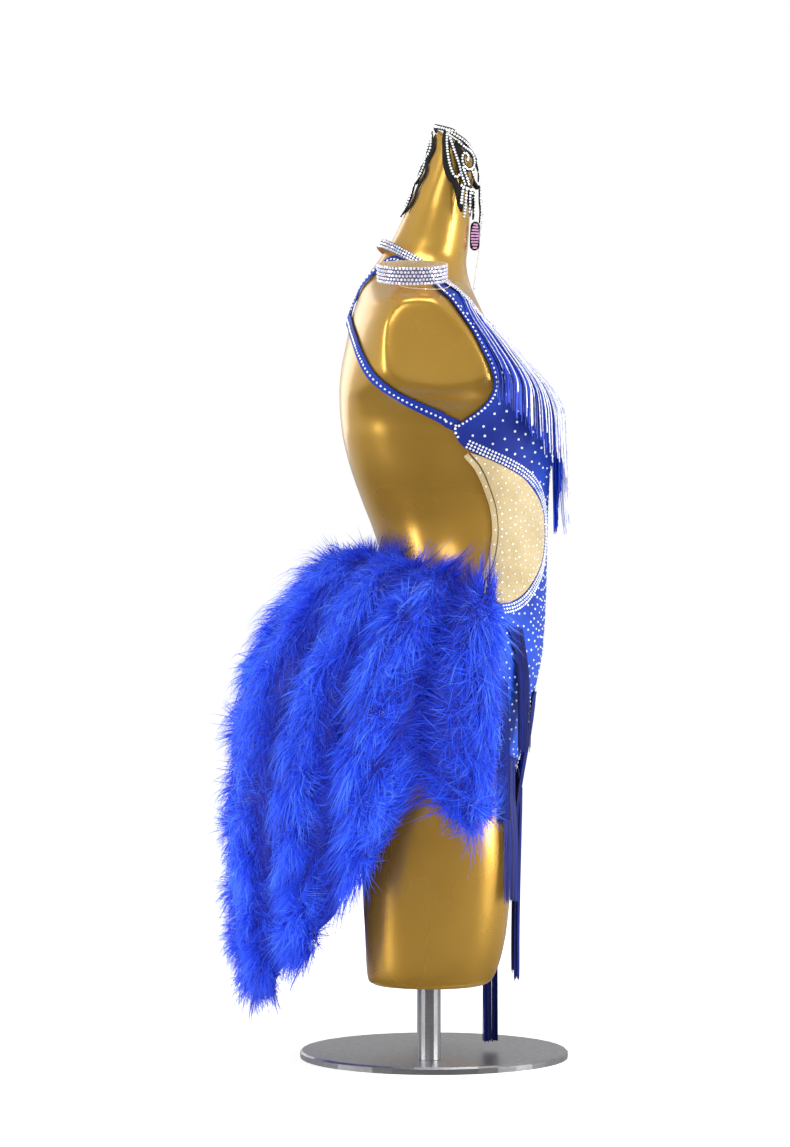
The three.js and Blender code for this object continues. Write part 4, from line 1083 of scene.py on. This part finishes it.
bust_path = beside(NECKLINE[2:] + FRINGE_END, BAND_WIDTH + 1.3 + BACKING_HEIGHT / 2)
for name, side, flip in SIDES:
    draw = np.random.default_rng(41)
    strip = flip(bust_path)
    head_place = ribbon(strip, BACKING_HEIGHT)
    add_piece(f"bust_fringe_head_{name}", *wall(3, 60, on_form(head_place), FRINGE_LIFT,
              FRINGE_LIFT + 1.2), navy_knit, "fringe")
    count = BLUE_STRANDS
    shares = (np.arange(count) + draw.uniform(0, 1, count)) / count
    ends = read_table(FRINGE_FEET, shares)[:, 1] + draw.normal(0, 5, count)
    ends -= np.where(shares > 0.75, draw.uniform(0, 14, count), 0)
    hang_fringe(f"bust_fringe_{name}", strip, shares, ends, FRINGE_LIFT + 0.6, 0.66, 14, 1.6,
                blue_rayon, 42, sweep=-25 * (1 - shares), flare=3)
    # Most silver strands hang towards the centre front, and few near the shoulder.
    shares = draw.uniform(0.0, 1, SILVER_DRAWS)
    kept = draw.random(SILVER_DRAWS) < np.clip((shares - 0.1) * 2.4, 0.04, 0.66)
    shares = np.sort(shares[kept])
    ends = read_table(FRINGE_FEET, shares)[:, 1] + draw.normal(-3, 9, len(shares))
    hang_fringe(f"silver_fringe_{name}", strip, shares, ends, FRINGE_LIFT + 2.0, 0.72, 14, 3.8,
                silver_yarn, 43, in_cad=False, sweep=-18 * (1 - shares), flare=13)
    # The head of the silver row is covered by two close rows of stones.
    v = spread(int(length_of(strip) / 2.6))
    rows = [(*head_place(np.full(len(v), u), v), np.full(len(v), FRINGE_LIFT + 2.4))
            for u in (0.25, 0.75)]
    stones_on(f"fringe_head_stones_{name}", *joined_rows(rows), 1.25, "crystal", 44)

# ---- Hip fringes ----
# Short strips of navy chainette fringe sewn across the front of the hips and thighs in steps,
# with one tassel between the thighs. Each strip's head is a folded braid.

# letter, both ends of the strip, height of the feet, sweep and lean of the strands
HIP_FRINGES = [
    ("a", (76, 131, 481), (92, 116, 477), 348, 13, 0),
    ("b", (106, 60, 409), (112, 38, 408), 236, 0, 21),
    ("c", (61, 147, 424), (75, 135.5, 421), 272, 3, 0),
    ("d", (70, 124, 344), (90, 86, 337), 184, 0, 0),
    ("e", (87, 42, 322), (88, 18, 321), 92, 0, 4)]
HIP_STRANDS, HIP_LAYERS = 20, 2
TASSEL_X, TASSEL_TOP, TASSEL_FOOT, TASSEL_HALF, TASSEL_DEEP = 63, 292.5, 18, 7.5, 2.6
TASSEL_STRANDS, TASSEL_STEPS = 60, 8
for letter, start, end, foot, sweep, lean_in in HIP_FRINGES:
    for name, side, flip in SIDES:
        draw = np.random.default_rng(ord(letter))
        strip = flip([start, tuple((np.array(start) + end) / 2), end])
        head_place = ribbon(strip, BACKING_HEIGHT)
        head = wall(3, 16, on_form(head_place), FRINGE_LIFT, FRINGE_LIFT + FRINGE_THICK)
        add_piece(f"hip_fringe_head_{letter}_{name}", *head, navy_knit, "fringe")
        rows = np.repeat(np.arange(HIP_LAYERS), HIP_STRANDS)
        shares = (np.tile(np.arange(HIP_STRANDS), HIP_LAYERS) + 0.3 + 0.4 * rows) / HIP_STRANDS
        ends = foot + draw.normal(0, 1.6, len(shares))
        hang_fringe(f"hip_fringe_{letter}_{name}", strip, shares, ends,
                    FRINGE_LIFT + 0.6 + rows * 0.9, 0.6, 12, 0.8, navy_rayon, ord(letter),
                    sweep=sweep, lean_in=lean_in)

draw = np.random.default_rng(51)
count = TASSEL_STRANDS
roots = np.stack([TASSEL_X + draw.uniform(-TASSEL_HALF, TASSEL_HALF, count),
                  draw.uniform(-TASSEL_DEEP, TASSEL_DEEP, count), np.full(count, TASSEL_TOP)], 1)
drop = np.linspace(0, 1, TASSEL_STEPS)
feet = TASSEL_FOOT + draw.normal(0, 0.9, count)
paths = np.repeat(roots[:, None], TASSEL_STEPS, 1)
paths[..., 2] = TASSEL_TOP + (feet[:, None] - TASSEL_TOP) * drop
paths[..., 0] += draw.normal(0, 0.6, count)[:, None] * drop
strands = tubes(paths, np.tile((0.0, -1.0, 0.0), (count, 1)), 0.6, STRAND_SIDES)
tassel = add_piece("hip_fringe_f", *strands, navy_rayon, "fringe", in_cad=True, sharp=0)
set_values(tassel, "tone", np.repeat(draw.uniform(0, 1, count), TASSEL_STEPS * STRAND_SIDES))

# ---- Skirt ----
# Five flared gores of navy knit over stiffened net, set into the waist seam. They hang away from
# the legs at the back and carry the feathers; their inside shows from the front and below.

FAN_EDGE, DROP_ROWS = 5, 8
SKIRT_LIFT = OVER + 1.4
# how far the skirt runs on past its tips for a whole drop, and past its edges for a fan step
RUN_DOWN, RUN_ASIDE = 450, 45
# each row is one line from the waist to the feather tips, centre back to front edge
FAN = [
    [(-61, 0, 549), (-108, 0, 530), (-160, 0, 468), (-190, 0, 390), (-199, 0, 300),
     (-199, 0, 212), (-193, 0, 130), (-183, 0, 60)],
    [(-52, 50, 549), (-92, 70, 529), (-142, 84, 466), (-172, 84, 388), (-183, 76, 302),
     (-185, 66, 218), (-181, 54, 145), (-174, 46, 82)],
    [(-20, 108, 545), (-55, 126, 521), (-95, 142, 460), (-122, 143, 390), (-135, 135, 318),
     (-139, 123, 250), (-139, 110, 190), (-135, 102, 142)],
    [(12, 130, 534), (-20, 154, 506), (-45, 174, 455), (-58, 182, 400), (-63, 180, 350),
     (-63, 174, 305), (-62, 168, 266), (-60, 164, 232)],
    [(42, 134, 519), (38, 158, 487), (30, 178, 443), (26, 184, 400), (25, 183, 360),
     (25, 179, 322), (26, 174, 288), (28, 170, 256)],
    [(60, 136, 505), (60, 146, 480), (58, 158, 445), (57, 162, 408), (56, 161, 372),
     (55, 158, 338), (54, 154, 310), (53, 152, 284)]]
FINE = 20
fan_lines = np.stack([spline(line, FINE) for line in FAN])
fan_grid = []
for row in np.moveaxis(fan_lines, 1, 0):
    fan_grid.append(spline(np.vstack([(row * (1, -1, 1))[:0:-1], row]), FINE))
fan_grid = np.stack(fan_grid, 1)
turn, level = turn_of(fan_grid)
proud = ((fan_grid - form_point(turn, level)) * form_normal(turn, level)).sum(-1)
held_off = lifted(turn, level, np.full(turn.shape, SKIRT_LIFT))
pressed = (fan_grid[..., 2] >= SECTIONS[0, 0]) & (proud < SKIRT_LIFT)
fan_grid = np.where(pressed[..., None], held_off, fan_grid)
fan_across = unit(np.gradient(fan_grid, axis=0))
fan_down = unit(np.gradient(fan_grid, axis=1))
fan_out = unit(np.cross(fan_across, fan_down))


def read_grid(grid, fan, drop):
    """A grid's value at fan positions (0 is the centre back) and drops, between its points."""
    a = np.clip((fan + FAN_EDGE) / (2 * FAN_EDGE), 0, 1) * (grid.shape[0] - 1)
    b = np.clip(drop, 0, 1) * (grid.shape[1] - 1)
    i = np.minimum(a.astype(int), grid.shape[0] - 2)
    j = np.minimum(b.astype(int), grid.shape[1] - 2)
    s, t = (a - i)[..., None], (b - j)[..., None]
    return ((1 - s) * (1 - t) * grid[i, j] + s * (1 - t) * grid[i + 1, j]
            + (1 - s) * t * grid[i, j + 1] + s * t * grid[i + 1, j + 1])


def skirt_at(fan, drop, lift):
    """A point off the skirt. Past its hem or front edge it runs straight on."""
    point = read_grid(fan_grid, fan, drop)
    out, down = read_grid(fan_out, fan, drop), read_grid(fan_down, fan, drop)
    across = read_grid(fan_across, fan, drop)
    past = np.maximum(drop - 1, 0) + np.minimum(drop, 0)
    wide = np.maximum(np.abs(fan) - FAN_EDGE, 0) * np.sign(fan)
    return point + out * lift[..., None] + down * (past * RUN_DOWN)[..., None] \
        + across * (wide * RUN_ASIDE)[..., None]


HEM = (DROP_ROWS - 1) / DROP_ROWS
# fan position and the share of the drop that the cloth and the feathers reach there
HEM_LINE = np.array([(0, 1), (0.6, 1.01), (1.2, 1.05), (2.0, 1.07), (2.4, 1.1), (2.7, 1.07),
                     (3.0, 1.0), (3.3, 0.84), (3.5, 0.71), (3.7, 0.86), (4.1, 1.02),
                     (4.5, 0.96), (5, 0.8)])


def hem(fan):
    return np.interp(np.abs(fan), *HEM_LINE.T)


def skirt_wall(u, v, lift):
    fan = (2 * u - 1) * FAN_EDGE
    pleat = 0.9 * np.sin(fan * 9.0 + 0.6 * np.sin(fan * 3)) * np.clip(v * 1.6 - 0.2, 0, 1)
    return skirt_at(fan, v * HEM * np.minimum(hem(fan) + 0.02, 1), lift + pleat)


def on_both_sides(rows):
    """Rows of a name and two fan positions, each made a left row and a right row."""
    return [row for name, low, high, *rest in rows for row in (
        (f"{name}_left", low, high, *rest), (f"{name}_right", -high, -low, *rest))]


# gore, fan positions of its edges, flat size and area of its cut in metres
GORES = [("skirt_centre", -1, 1, (0.16, 0.56), 0.075)] + on_both_sides([
    ("skirt_1", 1, 3, (0.17, 0.46), 0.055), ("skirt_2", 3, 5, (0.14, 0.34), 0.030)])
for name, low, high, flat, area in GORES:
    points, faces = wall(28, 40, lambda u, v, lift: skirt_wall(
        (low + (high - low) * u) / (2 * FAN_EDGE) + 0.5, v, lift), 0.1, 1.3)
    gore = add_piece(name, points, faces, navy_knit, "blue_stretch", in_cad=True)

# ---- Feather boas ----
# Marabou boas, dyed royal blue: soft down wound on a cord, sewn side by side from the waist
# to the hem. The down stands out from the cord, then falls. Its colour is painted darker as
# shade near its root, between its tufts and on the cord, and painted lighter at its tips.

BOA_LIFT, BOA_RISE, BOA_EDGE, BOA_GAP = CLOTH + 0.9, 46, 5, 0.012
BOAS = [("boa_centre", -0.5, 0.5)] + on_both_sides([
    ("boa_1", 0.5, 1.5), ("boa_2", 1.5, 2.5), ("boa_3", 2.5, 3.5), ("boa_4", 3.5, 5)])
# barbs on all the boas, half the width of one, and the points that make it
BARBS, BARB_HALF, BARB_POINTS = 104000, 0.40, 7
TUFTS, TUFT_LONG = 3, 17
WIDEST = 240


def roll(u, v):
    """How far a boa stands off the skirt across its width and down its length."""
    round_over = np.sqrt(np.clip(1 - (2 * u - 1)**2, 0, 1))
    shape = ease(v, -0.12, 0.16) * (1 - 0.7 * ease(v, 0.9, 1))
    return BOA_LIFT + BOA_EDGE + (BOA_RISE - BOA_EDGE) * round_over * shape


def marabou(wire):
    tone = written(wire, "tone")
    # Painted shade near the root, between tufts and on the cord; painted light at the tips.
    shade = written(wire, "reach") * 0.62 + tone * 0.38
    tint = shade.ramp((0.0, colour(4, 8, 86)), (0.32, colour(15, 34, 180)),
                      (0.58, colour(30, 84, 246)), (0.88, colour(100, 160, 255)))
    # The emission is a painted glow.
    return {"Base Color": tint, "Roughness": tone * 0.2 + 0.55, "Sheen Weight": 0.5,
            "Sheen Roughness": 0.4, "Sheen Tint": (0.45, 0.6, 1, 1),
            "Emission Color": tint, "Emission Strength": 0.2}


marabou_down = material("marabou_down", marabou)


def run_length(fan, drop):
    line = read_grid(fan_grid, fan, drop)
    return np.linalg.norm(np.diff(line, axis=0), axis=1).sum()


def boa_size(low, high):
    """The length down the middle of a boa, and its width at mid drop."""
    return (run_length(np.full(50, (low + high) / 2), np.linspace(0, 1, 50)),
            run_length(np.linspace(low, high, 20), np.full(20, 0.5)))


sizes = {name: boa_size(low, high) for name, low, high in BOAS}
shares = {name: long * (wide + 40) for name, (long, wide) in sizes.items()}
for number, (name, low, high) in enumerate(BOAS):
    draw = np.random.default_rng(61 + number)
    long, wide = sizes[name]
    count = int(BARBS * shares[name] / sum(shares.values()))
    u, v = draw.uniform(-0.03, 1.03, count), draw.uniform(-0.01, 1, count)
    v = v * (1 - 12 / long - 0.08 * np.abs(2 * u - 1)**3)

    def at(uu, vv, lift, low=low, high=high):
        fan = low + (high - low) * uu + BOA_GAP * (1 - 2 * uu)
        return skirt_at(fan, vv * hem(fan), lift)

    # The down grows in tufts, which open outwards from where the cord holds them.
    down_rows = max(4, int(long / TUFT_LONG))
    tuft_v = (np.arange(down_rows)[:, None] + draw.uniform(0, 1, (down_rows, TUFTS))) / down_rows
    tuft_u = (np.arange(TUFTS)[None] + draw.uniform(0, 1, (down_rows, TUFTS))) / TUFTS
    away_u = (u[:, None] - tuft_u.ravel()) * wide
    away_v = (v[:, None] - tuft_v.ravel()) * long
    near = np.argmin(away_u**2 + away_v**2, axis=1)
    pick = np.arange(count)
    off_u, off_v = away_u[pick, near] / wide, away_v[pick, near] / long
    apart = np.clip(np.hypot(away_u[pick, near], away_v[pick, near]) / TUFT_LONG, 0, 1.4)
    height = draw.uniform(0.76, 1.12, down_rows * TUFTS)[near] - 0.22 * apart**2
    lean = draw.normal(0, 7, (down_rows * TUFTS, 3))[near]
    sweep = ease(v, 0.0, 0.10) * 28 - 10 + draw.normal(0, 9, count)
    wisp = np.where(draw.random(count) < 0.08, draw.uniform(3, 11, count), 0)
    reach_out = roll(np.clip(u, 0.02, 0.98), v) * height * draw.uniform(0.62, 1.08, count) \
        + draw.normal(0, 1.5, count) + wisp
    root_u = 0.5 + (u - off_u * 0.6 - 0.5) * draw.uniform(0.3, 0.9, count)
    root_v = v - off_v * 0.6
    root = at(root_u, root_v, 0.30 * roll(np.clip(root_u, 0, 1), v))
    bend = at(root_u + (u - root_u) * 0.65, v + (0.25 * sweep) / long + off_v * 0.4,
              np.maximum(reach_out * 0.95, 3))
    tip = at(u + off_u * 0.9 + draw.normal(0, 0.05, count), v + sweep / long + off_v * 0.9,
             np.maximum(reach_out * 0.88, 2))
    tip += draw.normal(0, 2.4, (count, 3)) + lean
    tip[:, 1] = np.clip(tip[:, 1], -WIDEST, WIDEST)
    t = np.array([0, 0.34, 0.68, 1])[None, :, None]
    paths = (1 - t)**2 * root[:, None] + 2 * t * (1 - t) * bend[:, None] + t**2 * tip[:, None]
    ahead = unit(np.gradient(paths, axis=1))
    fan = low + (high - low) * np.clip(u, 0, 1)
    out = read_grid(fan_out, fan, v)[:, None] + draw.normal(0, 0.5, (count, 1, 3))
    aside = unit(np.cross(ahead, out)) * (BARB_HALF * draw.uniform(0.6, 1.3, (count, 1, 1))
                                          * np.array([1, 0.9, 0.6, 0.0])[None, :, None])
    points = np.stack([paths - aside, paths + aside], 2)
    points = np.concatenate([points[:, :3].reshape(count, 6, 3), paths[:, 3:]], 1)
    shift = (np.arange(count) * BARB_POINTS)[:, None, None]
    quads = np.array([(0, 1, 3, 2), (2, 3, 5, 4)])[None] + shift
    ends = np.array([(4, 5, 6)])[None] + shift
    # reach: 0 at a barb's root and 1 at its tip, less where the down stands out less; low reach is
    # painted shade near the cord and in the valleys between boas.
    reach = np.tile([0, 0, 0.4, 0.4, 0.75, 0.75, 1.0], count)
    reach *= np.repeat(np.clip(reach_out / (BOA_LIFT + BOA_RISE), 0.25, 1), BARB_POINTS)
    # tone is random, and lower away from a tuft's middle: painted shade between the tufts.
    tone = np.clip(0.78 - 0.42 * apart + draw.normal(0, 0.16, count), 0, 1)
    tone = np.repeat(tone, BARB_POINTS)
    core_points, core_faces = wall(14, 60, lambda a, b, lift: at(a, b * 0.93, lift), BOA_LIFT,
                                   lambda a, b: np.maximum(0.5 * roll(a, b), BOA_LIFT + 1.5))
    base = count * BARB_POINTS
    faces = [quads.reshape(-1, 4), ends.reshape(-1, 3), *(f + base for f in core_faces)]
    boa = add_piece(name, np.vstack([points.reshape(-1, 3), core_points]), faces, marabou_down,
                    "feather", in_cad=True, sharp=180)
    # The cord gets low reach and tone, so it is painted dark as shade under the down.
    for label, values, core in (("reach", reach, 0.12), ("tone", tone, 0.25)):
        set_values(boa, label, np.concatenate([values, np.full(len(core_points), core)]))

# ---- Cuff ----
# A wrist cuff that lies loose on the right shoulder: five rows of stones on an elastic band
# lined with cream satin.

CUFF_RADIUS, CUFF_HEIGHT, CUFF_TILT = 36, 19, math.radians(11)
CUFF_PLACE = np.array((-25, -134, 866.6))
CUFF_AROUND, CUFF_ROWS, CUFF_STONES = 96, 5, 58
# radius over the lining and height of the band's rounded section
CUFF_SECTION = [(0, -8.9), (0.4, -9.4), (1.2, -9.4), (1.5, -8.8), (1.5, 8.8), (1.2, 9.4),
                (0.4, 9.5), (0, 8.9)]


def on_cuff(angle, radius, height):
    x, y = radius * np.cos(angle), radius * np.sin(angle)
    c, s = math.cos(CUFF_TILT), math.sin(CUFF_TILT)
    return np.stack([x, y * c - height * s, y * s + height * c], -1)


angles = np.arange(CUFF_AROUND) * 2 * math.pi / CUFF_AROUND
rings = np.stack([on_cuff(angles, CUFF_RADIUS + r, z) + CUFF_PLACE for r, z in CUFF_SECTION], 1)
sides = len(CUFF_SECTION)
k, r = (g.ravel() for g in np.meshgrid(np.arange(CUFF_AROUND), np.arange(sides)))
here, there, after = k * sides, (k + 1) % CUFF_AROUND * sides, (r + 1) % sides
faces = np.stack([here + r, there + r, there + after, here + after], 1)
cuff = add_piece("cuff", rings.reshape(-1, 3), [faces], cream_backing, "crystal", in_cad=True)
# The outer face gets tone 1, so the band shows as painted shade between the stones.
set_values(cuff, "tone", np.tile([r > 1.3 for r, _ in CUFF_SECTION], CUFF_AROUND))
places, outward = [], []
for row in range(CUFF_ROWS):
    turns = (np.arange(CUFF_STONES) + 0.5 * (row % 2)) * 2 * math.pi / CUFF_STONES
    level = (row - (CUFF_ROWS - 1) / 2) * (CUFF_HEIGHT - 3.2) / (CUFF_ROWS - 1)
    places.append(on_cuff(turns, CUFF_RADIUS + 1.6, level) + CUFF_PLACE)
    outward.append(on_cuff(turns, 1, 0))
set_stones("cuff_stones", np.vstack(places), np.vstack(outward), 1.9, "crystal", 71)

# A thin clear finger loop with small beads hangs from it over the shoulder.
LOOP = [(-46, -138, 857), (-38, -144, 848), (-18, -150, 843), (6, -148, 844), (22, -140, 850),
        (27, -132, 857)]
turn, z = turn_of(along(LOOP, np.linspace(0, 1, 49)))
loop_line = lifted(turn, z, np.full(len(z), 1.6 + SKIN))
loop_thread = material("clear_elastic", lambda wire: {
    "Base Color": wire.node("ShaderNodeTexNoise", (), {"Scale": 300}).ramp(
        (0.3, colour(200, 176, 120)), (0.7, colour(240, 226, 190))), "Roughness": 0.2})
add_piece("finger_loop", *tubes(loop_line[None], form_normal(turn[24:25], z[24:25]), 0.45, 6),
          loop_thread, "crystal")
set_stones("finger_loop_beads", loop_line[2::5], form_normal(turn, z)[2::5], 1.1, "crystal", 72)

# ---- Headpiece ----
# A stage applique pinned over the top of the neck: scrolls of black felt with a close row of
# stones along each, a bare scalloped edge, short bead drops, a lilac leaf and a long thin tail.

APPLIQUE_LIFT, APPLIQUE_SWING, RIM, SWING_DROP = 3, 8, 1004, 55
NECK_AXIS_X = 15
SCROLL_HALF, EDGE_HALF, DROP_HALF, FELT_HALF_THICK, STONE_PITCH = 2.8, 3.8, 1.4, 1.0, 3.3
# turn from the middle in degrees, and height
FRONT_SCROLLS = [
    [(117, 1033), (92, 1027), (66, 1021), (40, 1013), (0, 1006), (0, 990), (0, 970), (0, 950)],
    [(113, 1029), (105, 1013), (95, 998), (83, 985), (74, 979), (68, 983)],
    [(103, 1024), (89, 1010), (76, 997), (66, 984), (55, 971)],
    [(83, 1020), (66, 1014), (42, 1009), (32, 1001), (41, 991), (57, 990), (68, 999),
     (65, 1007), (53, 1004), (56, 998)],
    [(66, 992), (55, 981), (47, 971)],
    [(20, 1002), (0, 990), (17, 975), (34, 981), (44, 991)],
    [(65, 971), (52, 968), (33, 967)],
    [(88, 1030), (110, 1033), (140, 1037), (172, 1041)]]
FRONT_EDGES = [
    [(122, 1032), (110, 1014), (100, 996), (85, 980), (72, 972), (61, 956), (55, 941)],
    [(88, 1021), (68, 999), (53, 979), (42, 960), (37, 944)]]
# turn, and the heights that the drop hangs between
DROPS = [(59, 969, 949), (52, 968, 934), (44, 968, 940), (33, 967, 940), (9, 972, 934)]
STEM = [(48, 0, 1003), (52.5, 0, 976), (55, 0, 954), (53.5, 0, 930), (51.5, 0, 905),
        (48, 0, 880), (45, 0, 859)]
LEAF = [(46.5, -7, 934), (46, -8, 918), (44, -7, 902)]
BACK_SCROLLS = [
    [(0, 1034), (22, 1026), (30, 1012), (18, 1002), (0, 998)],
    [(0, 975), (16, 966), (20, 954), (0, 943)],
    [(4, 1012), (16, 1008), (26, 998), (24, 986), (10, 980), (0, 978)],
    [(8, 1028), (16, 1020), (12, 1012), (4, 1010)]]
BACK_EDGES = [[(30, 1026), (38, 1012), (30, 1000), (38, 986), (30, 972), (34, 958), (24, 944)]]
SPINE = [1036, 1010, 985, 960, 940]
neck_rows = np.array(top_rows, float)


def neck_point(degrees, z, lift):
    """A place on the neck: turn from the front, height and lift."""
    turn = math.radians(degrees)
    forward = (1 + math.cos(turn)) / 2
    heights = neck_rows[:, 1] + (neck_rows[:, 3] - neck_rows[:, 1]) * forward
    i = int(np.clip(np.searchsorted(heights, z) - 1, 0, len(heights) - 2))
    t = (z - heights[i]) / (heights[i + 1] - heights[i])
    back_x, _, front_x, _, half = neck_rows[i] + (neck_rows[i + 1] - neck_rows[i]) * t
    return ((back_x + front_x) / 2 + ((front_x - back_x) / 2 + lift) * math.cos(turn),
            (half + lift) * math.sin(turn), z)


def hang(z):
    return APPLIQUE_LIFT + APPLIQUE_SWING * min(max((RIM - z) / SWING_DROP, 0), 1)


def felt_scroll(path, half_width, steps):
    """A flat felt bar along a curve, as it lies on the neck, and the frame along it."""
    t = np.linspace(0, 1, steps + 1)
    line = along(path, t)
    ahead = unit(np.gradient(line, axis=0))
    spoke = line - np.stack([np.full(len(t), NECK_AXIS_X), np.zeros(len(t)), line[:, 2]], 1)
    outward = unit(spoke - ahead * (spoke * ahead).sum(1)[:, None])
    aside = np.cross(ahead, outward)
    section = [(math.cos(a), math.sin(a)) for a in np.arange(10) * math.pi / 5]
    taper = np.sin(np.clip(t * 12, 0, math.pi / 2)) * np.sin(np.clip((1 - t) * 12, 0, math.pi / 2))
    rings = [line + aside * (c * half_width * (0.35 + 0.65 * taper))[:, None]
             + outward * (s * FELT_HALF_THICK) for c, s in section]
    return closed_tube(np.stack(rings, 1)), line, aside, outward


def read_at(k, *columns):
    """The rows of each column at places k, between its points."""
    at = np.arange(len(columns[0]))
    return [np.stack([np.interp(k, at, a[:, c]) for c in range(3)], 1) for a in columns]


black_felt = material("black_felt", weave(colour(10, 10, 12), colour(34, 34, 38), 1300))
# The emission is a painted glow on the lilac stones.
lilac_stone = material("lilac_stone", lambda wire: {
    "Base Color": clouds(wire, object_place(wire), 300).ramp(
        (0.35, colour(220, 150, 214)), (0.65, colour(246, 214, 246))),
    "Metallic": 0.3, "Roughness": 0.15, "Coat Weight": 0.5,
    "Emission Color": colour(236, 180, 232), "Emission Strength": 0.2})


def applique(name, scrolls):
    """Felt scrolls in one piece, with the rows of stones that each is given."""
    points, faces, places, outward = [], [], [], []
    for path, half_width, rows in scrolls:
        steps = max(6, int(length_of(path) / 3))
        (tube, groups), *frame_along = felt_scroll(path, half_width, steps)
        faces += [group + sum(map(len, points)) for group in groups]
        points.append(tube)
        k = spread(int(length_of(path) / STONE_PITCH)) * steps
        middle, aside, out = read_at(k, *frame_along)
        for row in rows:
            places.append(middle + aside * row * half_width + unit(out) * 0.95)
            outward.append(unit(out))
    add_piece(name, np.vstack(points), faces, black_felt, "black_applique", in_cad=True)
    set_stones(f"{name}_stones", np.vstack(places), np.vstack(outward), 1.6,
               "black_applique", 81, white_stone)


def felt_on_both_sides(paths, half_width, rows=(), off=0, behind=False):
    """Felt along paths of turns and heights, mirrored. In front it hangs off the neck."""
    return [([neck_point(s * (180 - d), z, APPLIQUE_LIFT + off) if behind
              else neck_point(s * d, z, hang(z) + off) for d, z in path], half_width, rows)
            for path in paths for s in (1, -1)]


drops = [[(turn, z) for z in np.linspace(high, low, 4)] for turn, high, low in DROPS]
applique("headpiece_front",
         felt_on_both_sides(FRONT_SCROLLS, SCROLL_HALF, (0,)) + [(STEM, 2.2, (0,))]
         + felt_on_both_sides(drops, DROP_HALF, (0,), 1)
         + felt_on_both_sides(FRONT_EDGES, EDGE_HALF, (), -1.5))
spine = [neck_point(180, z, APPLIQUE_LIFT) for z in SPINE]
applique("headpiece_back",
         felt_on_both_sides(BACK_SCROLLS, SCROLL_HALF, (0,), behind=True)
         + [(spine, EDGE_HALF, (-0.5, 0.5))]
         + felt_on_both_sides(BACK_EDGES, 2.4, (), -1.5, behind=True))

# The tail has a row of stones on each side as well.
for side in (1, -1):
    shares = spread(int(length_of(STEM) / 2.9))
    places = along(STEM, shares) + np.array((0, side * 2.1, 0))
    set_stones(f"tail_stones_{side + 1}", places, np.tile((0.0, side, 0.0), (len(shares), 1)),
               1.75, "black_applique", 83, white_stone)

# The leaf hangs turned half towards the side, with lilac stones on both of its faces.
(tube, groups), line, aside, out = felt_scroll(LEAF, 5.5, 12)
turned = np.array(((0.42, -0.91, 0), (0.91, 0.42, 0), (0, 0, 1)))
middle = line.mean(0)
tube, line = (tube - middle) @ turned + middle, (line - middle) @ turned + middle
aside, out = aside @ turned, out @ turned
add_piece("headpiece_leaf", tube, groups, black_felt, "black_applique")
places, outward = [], []
for row in np.linspace(-0.8, 0.8, 5):
    room = 4.6 * np.sin(np.linspace(0.12, 0.88, 9) * math.pi)
    centre, across, up = read_at(np.linspace(1.2, 10.8, 9), line, aside, out)
    for face in (1, -1):
        places.append(centre + across * (row * room)[:, None] + up * 0.95 * face)
        outward.append(up * face)
set_stones("leaf_stones", np.vstack(places), np.vstack(outward), 1.3, "black_applique", 82,
           lilac_stone)
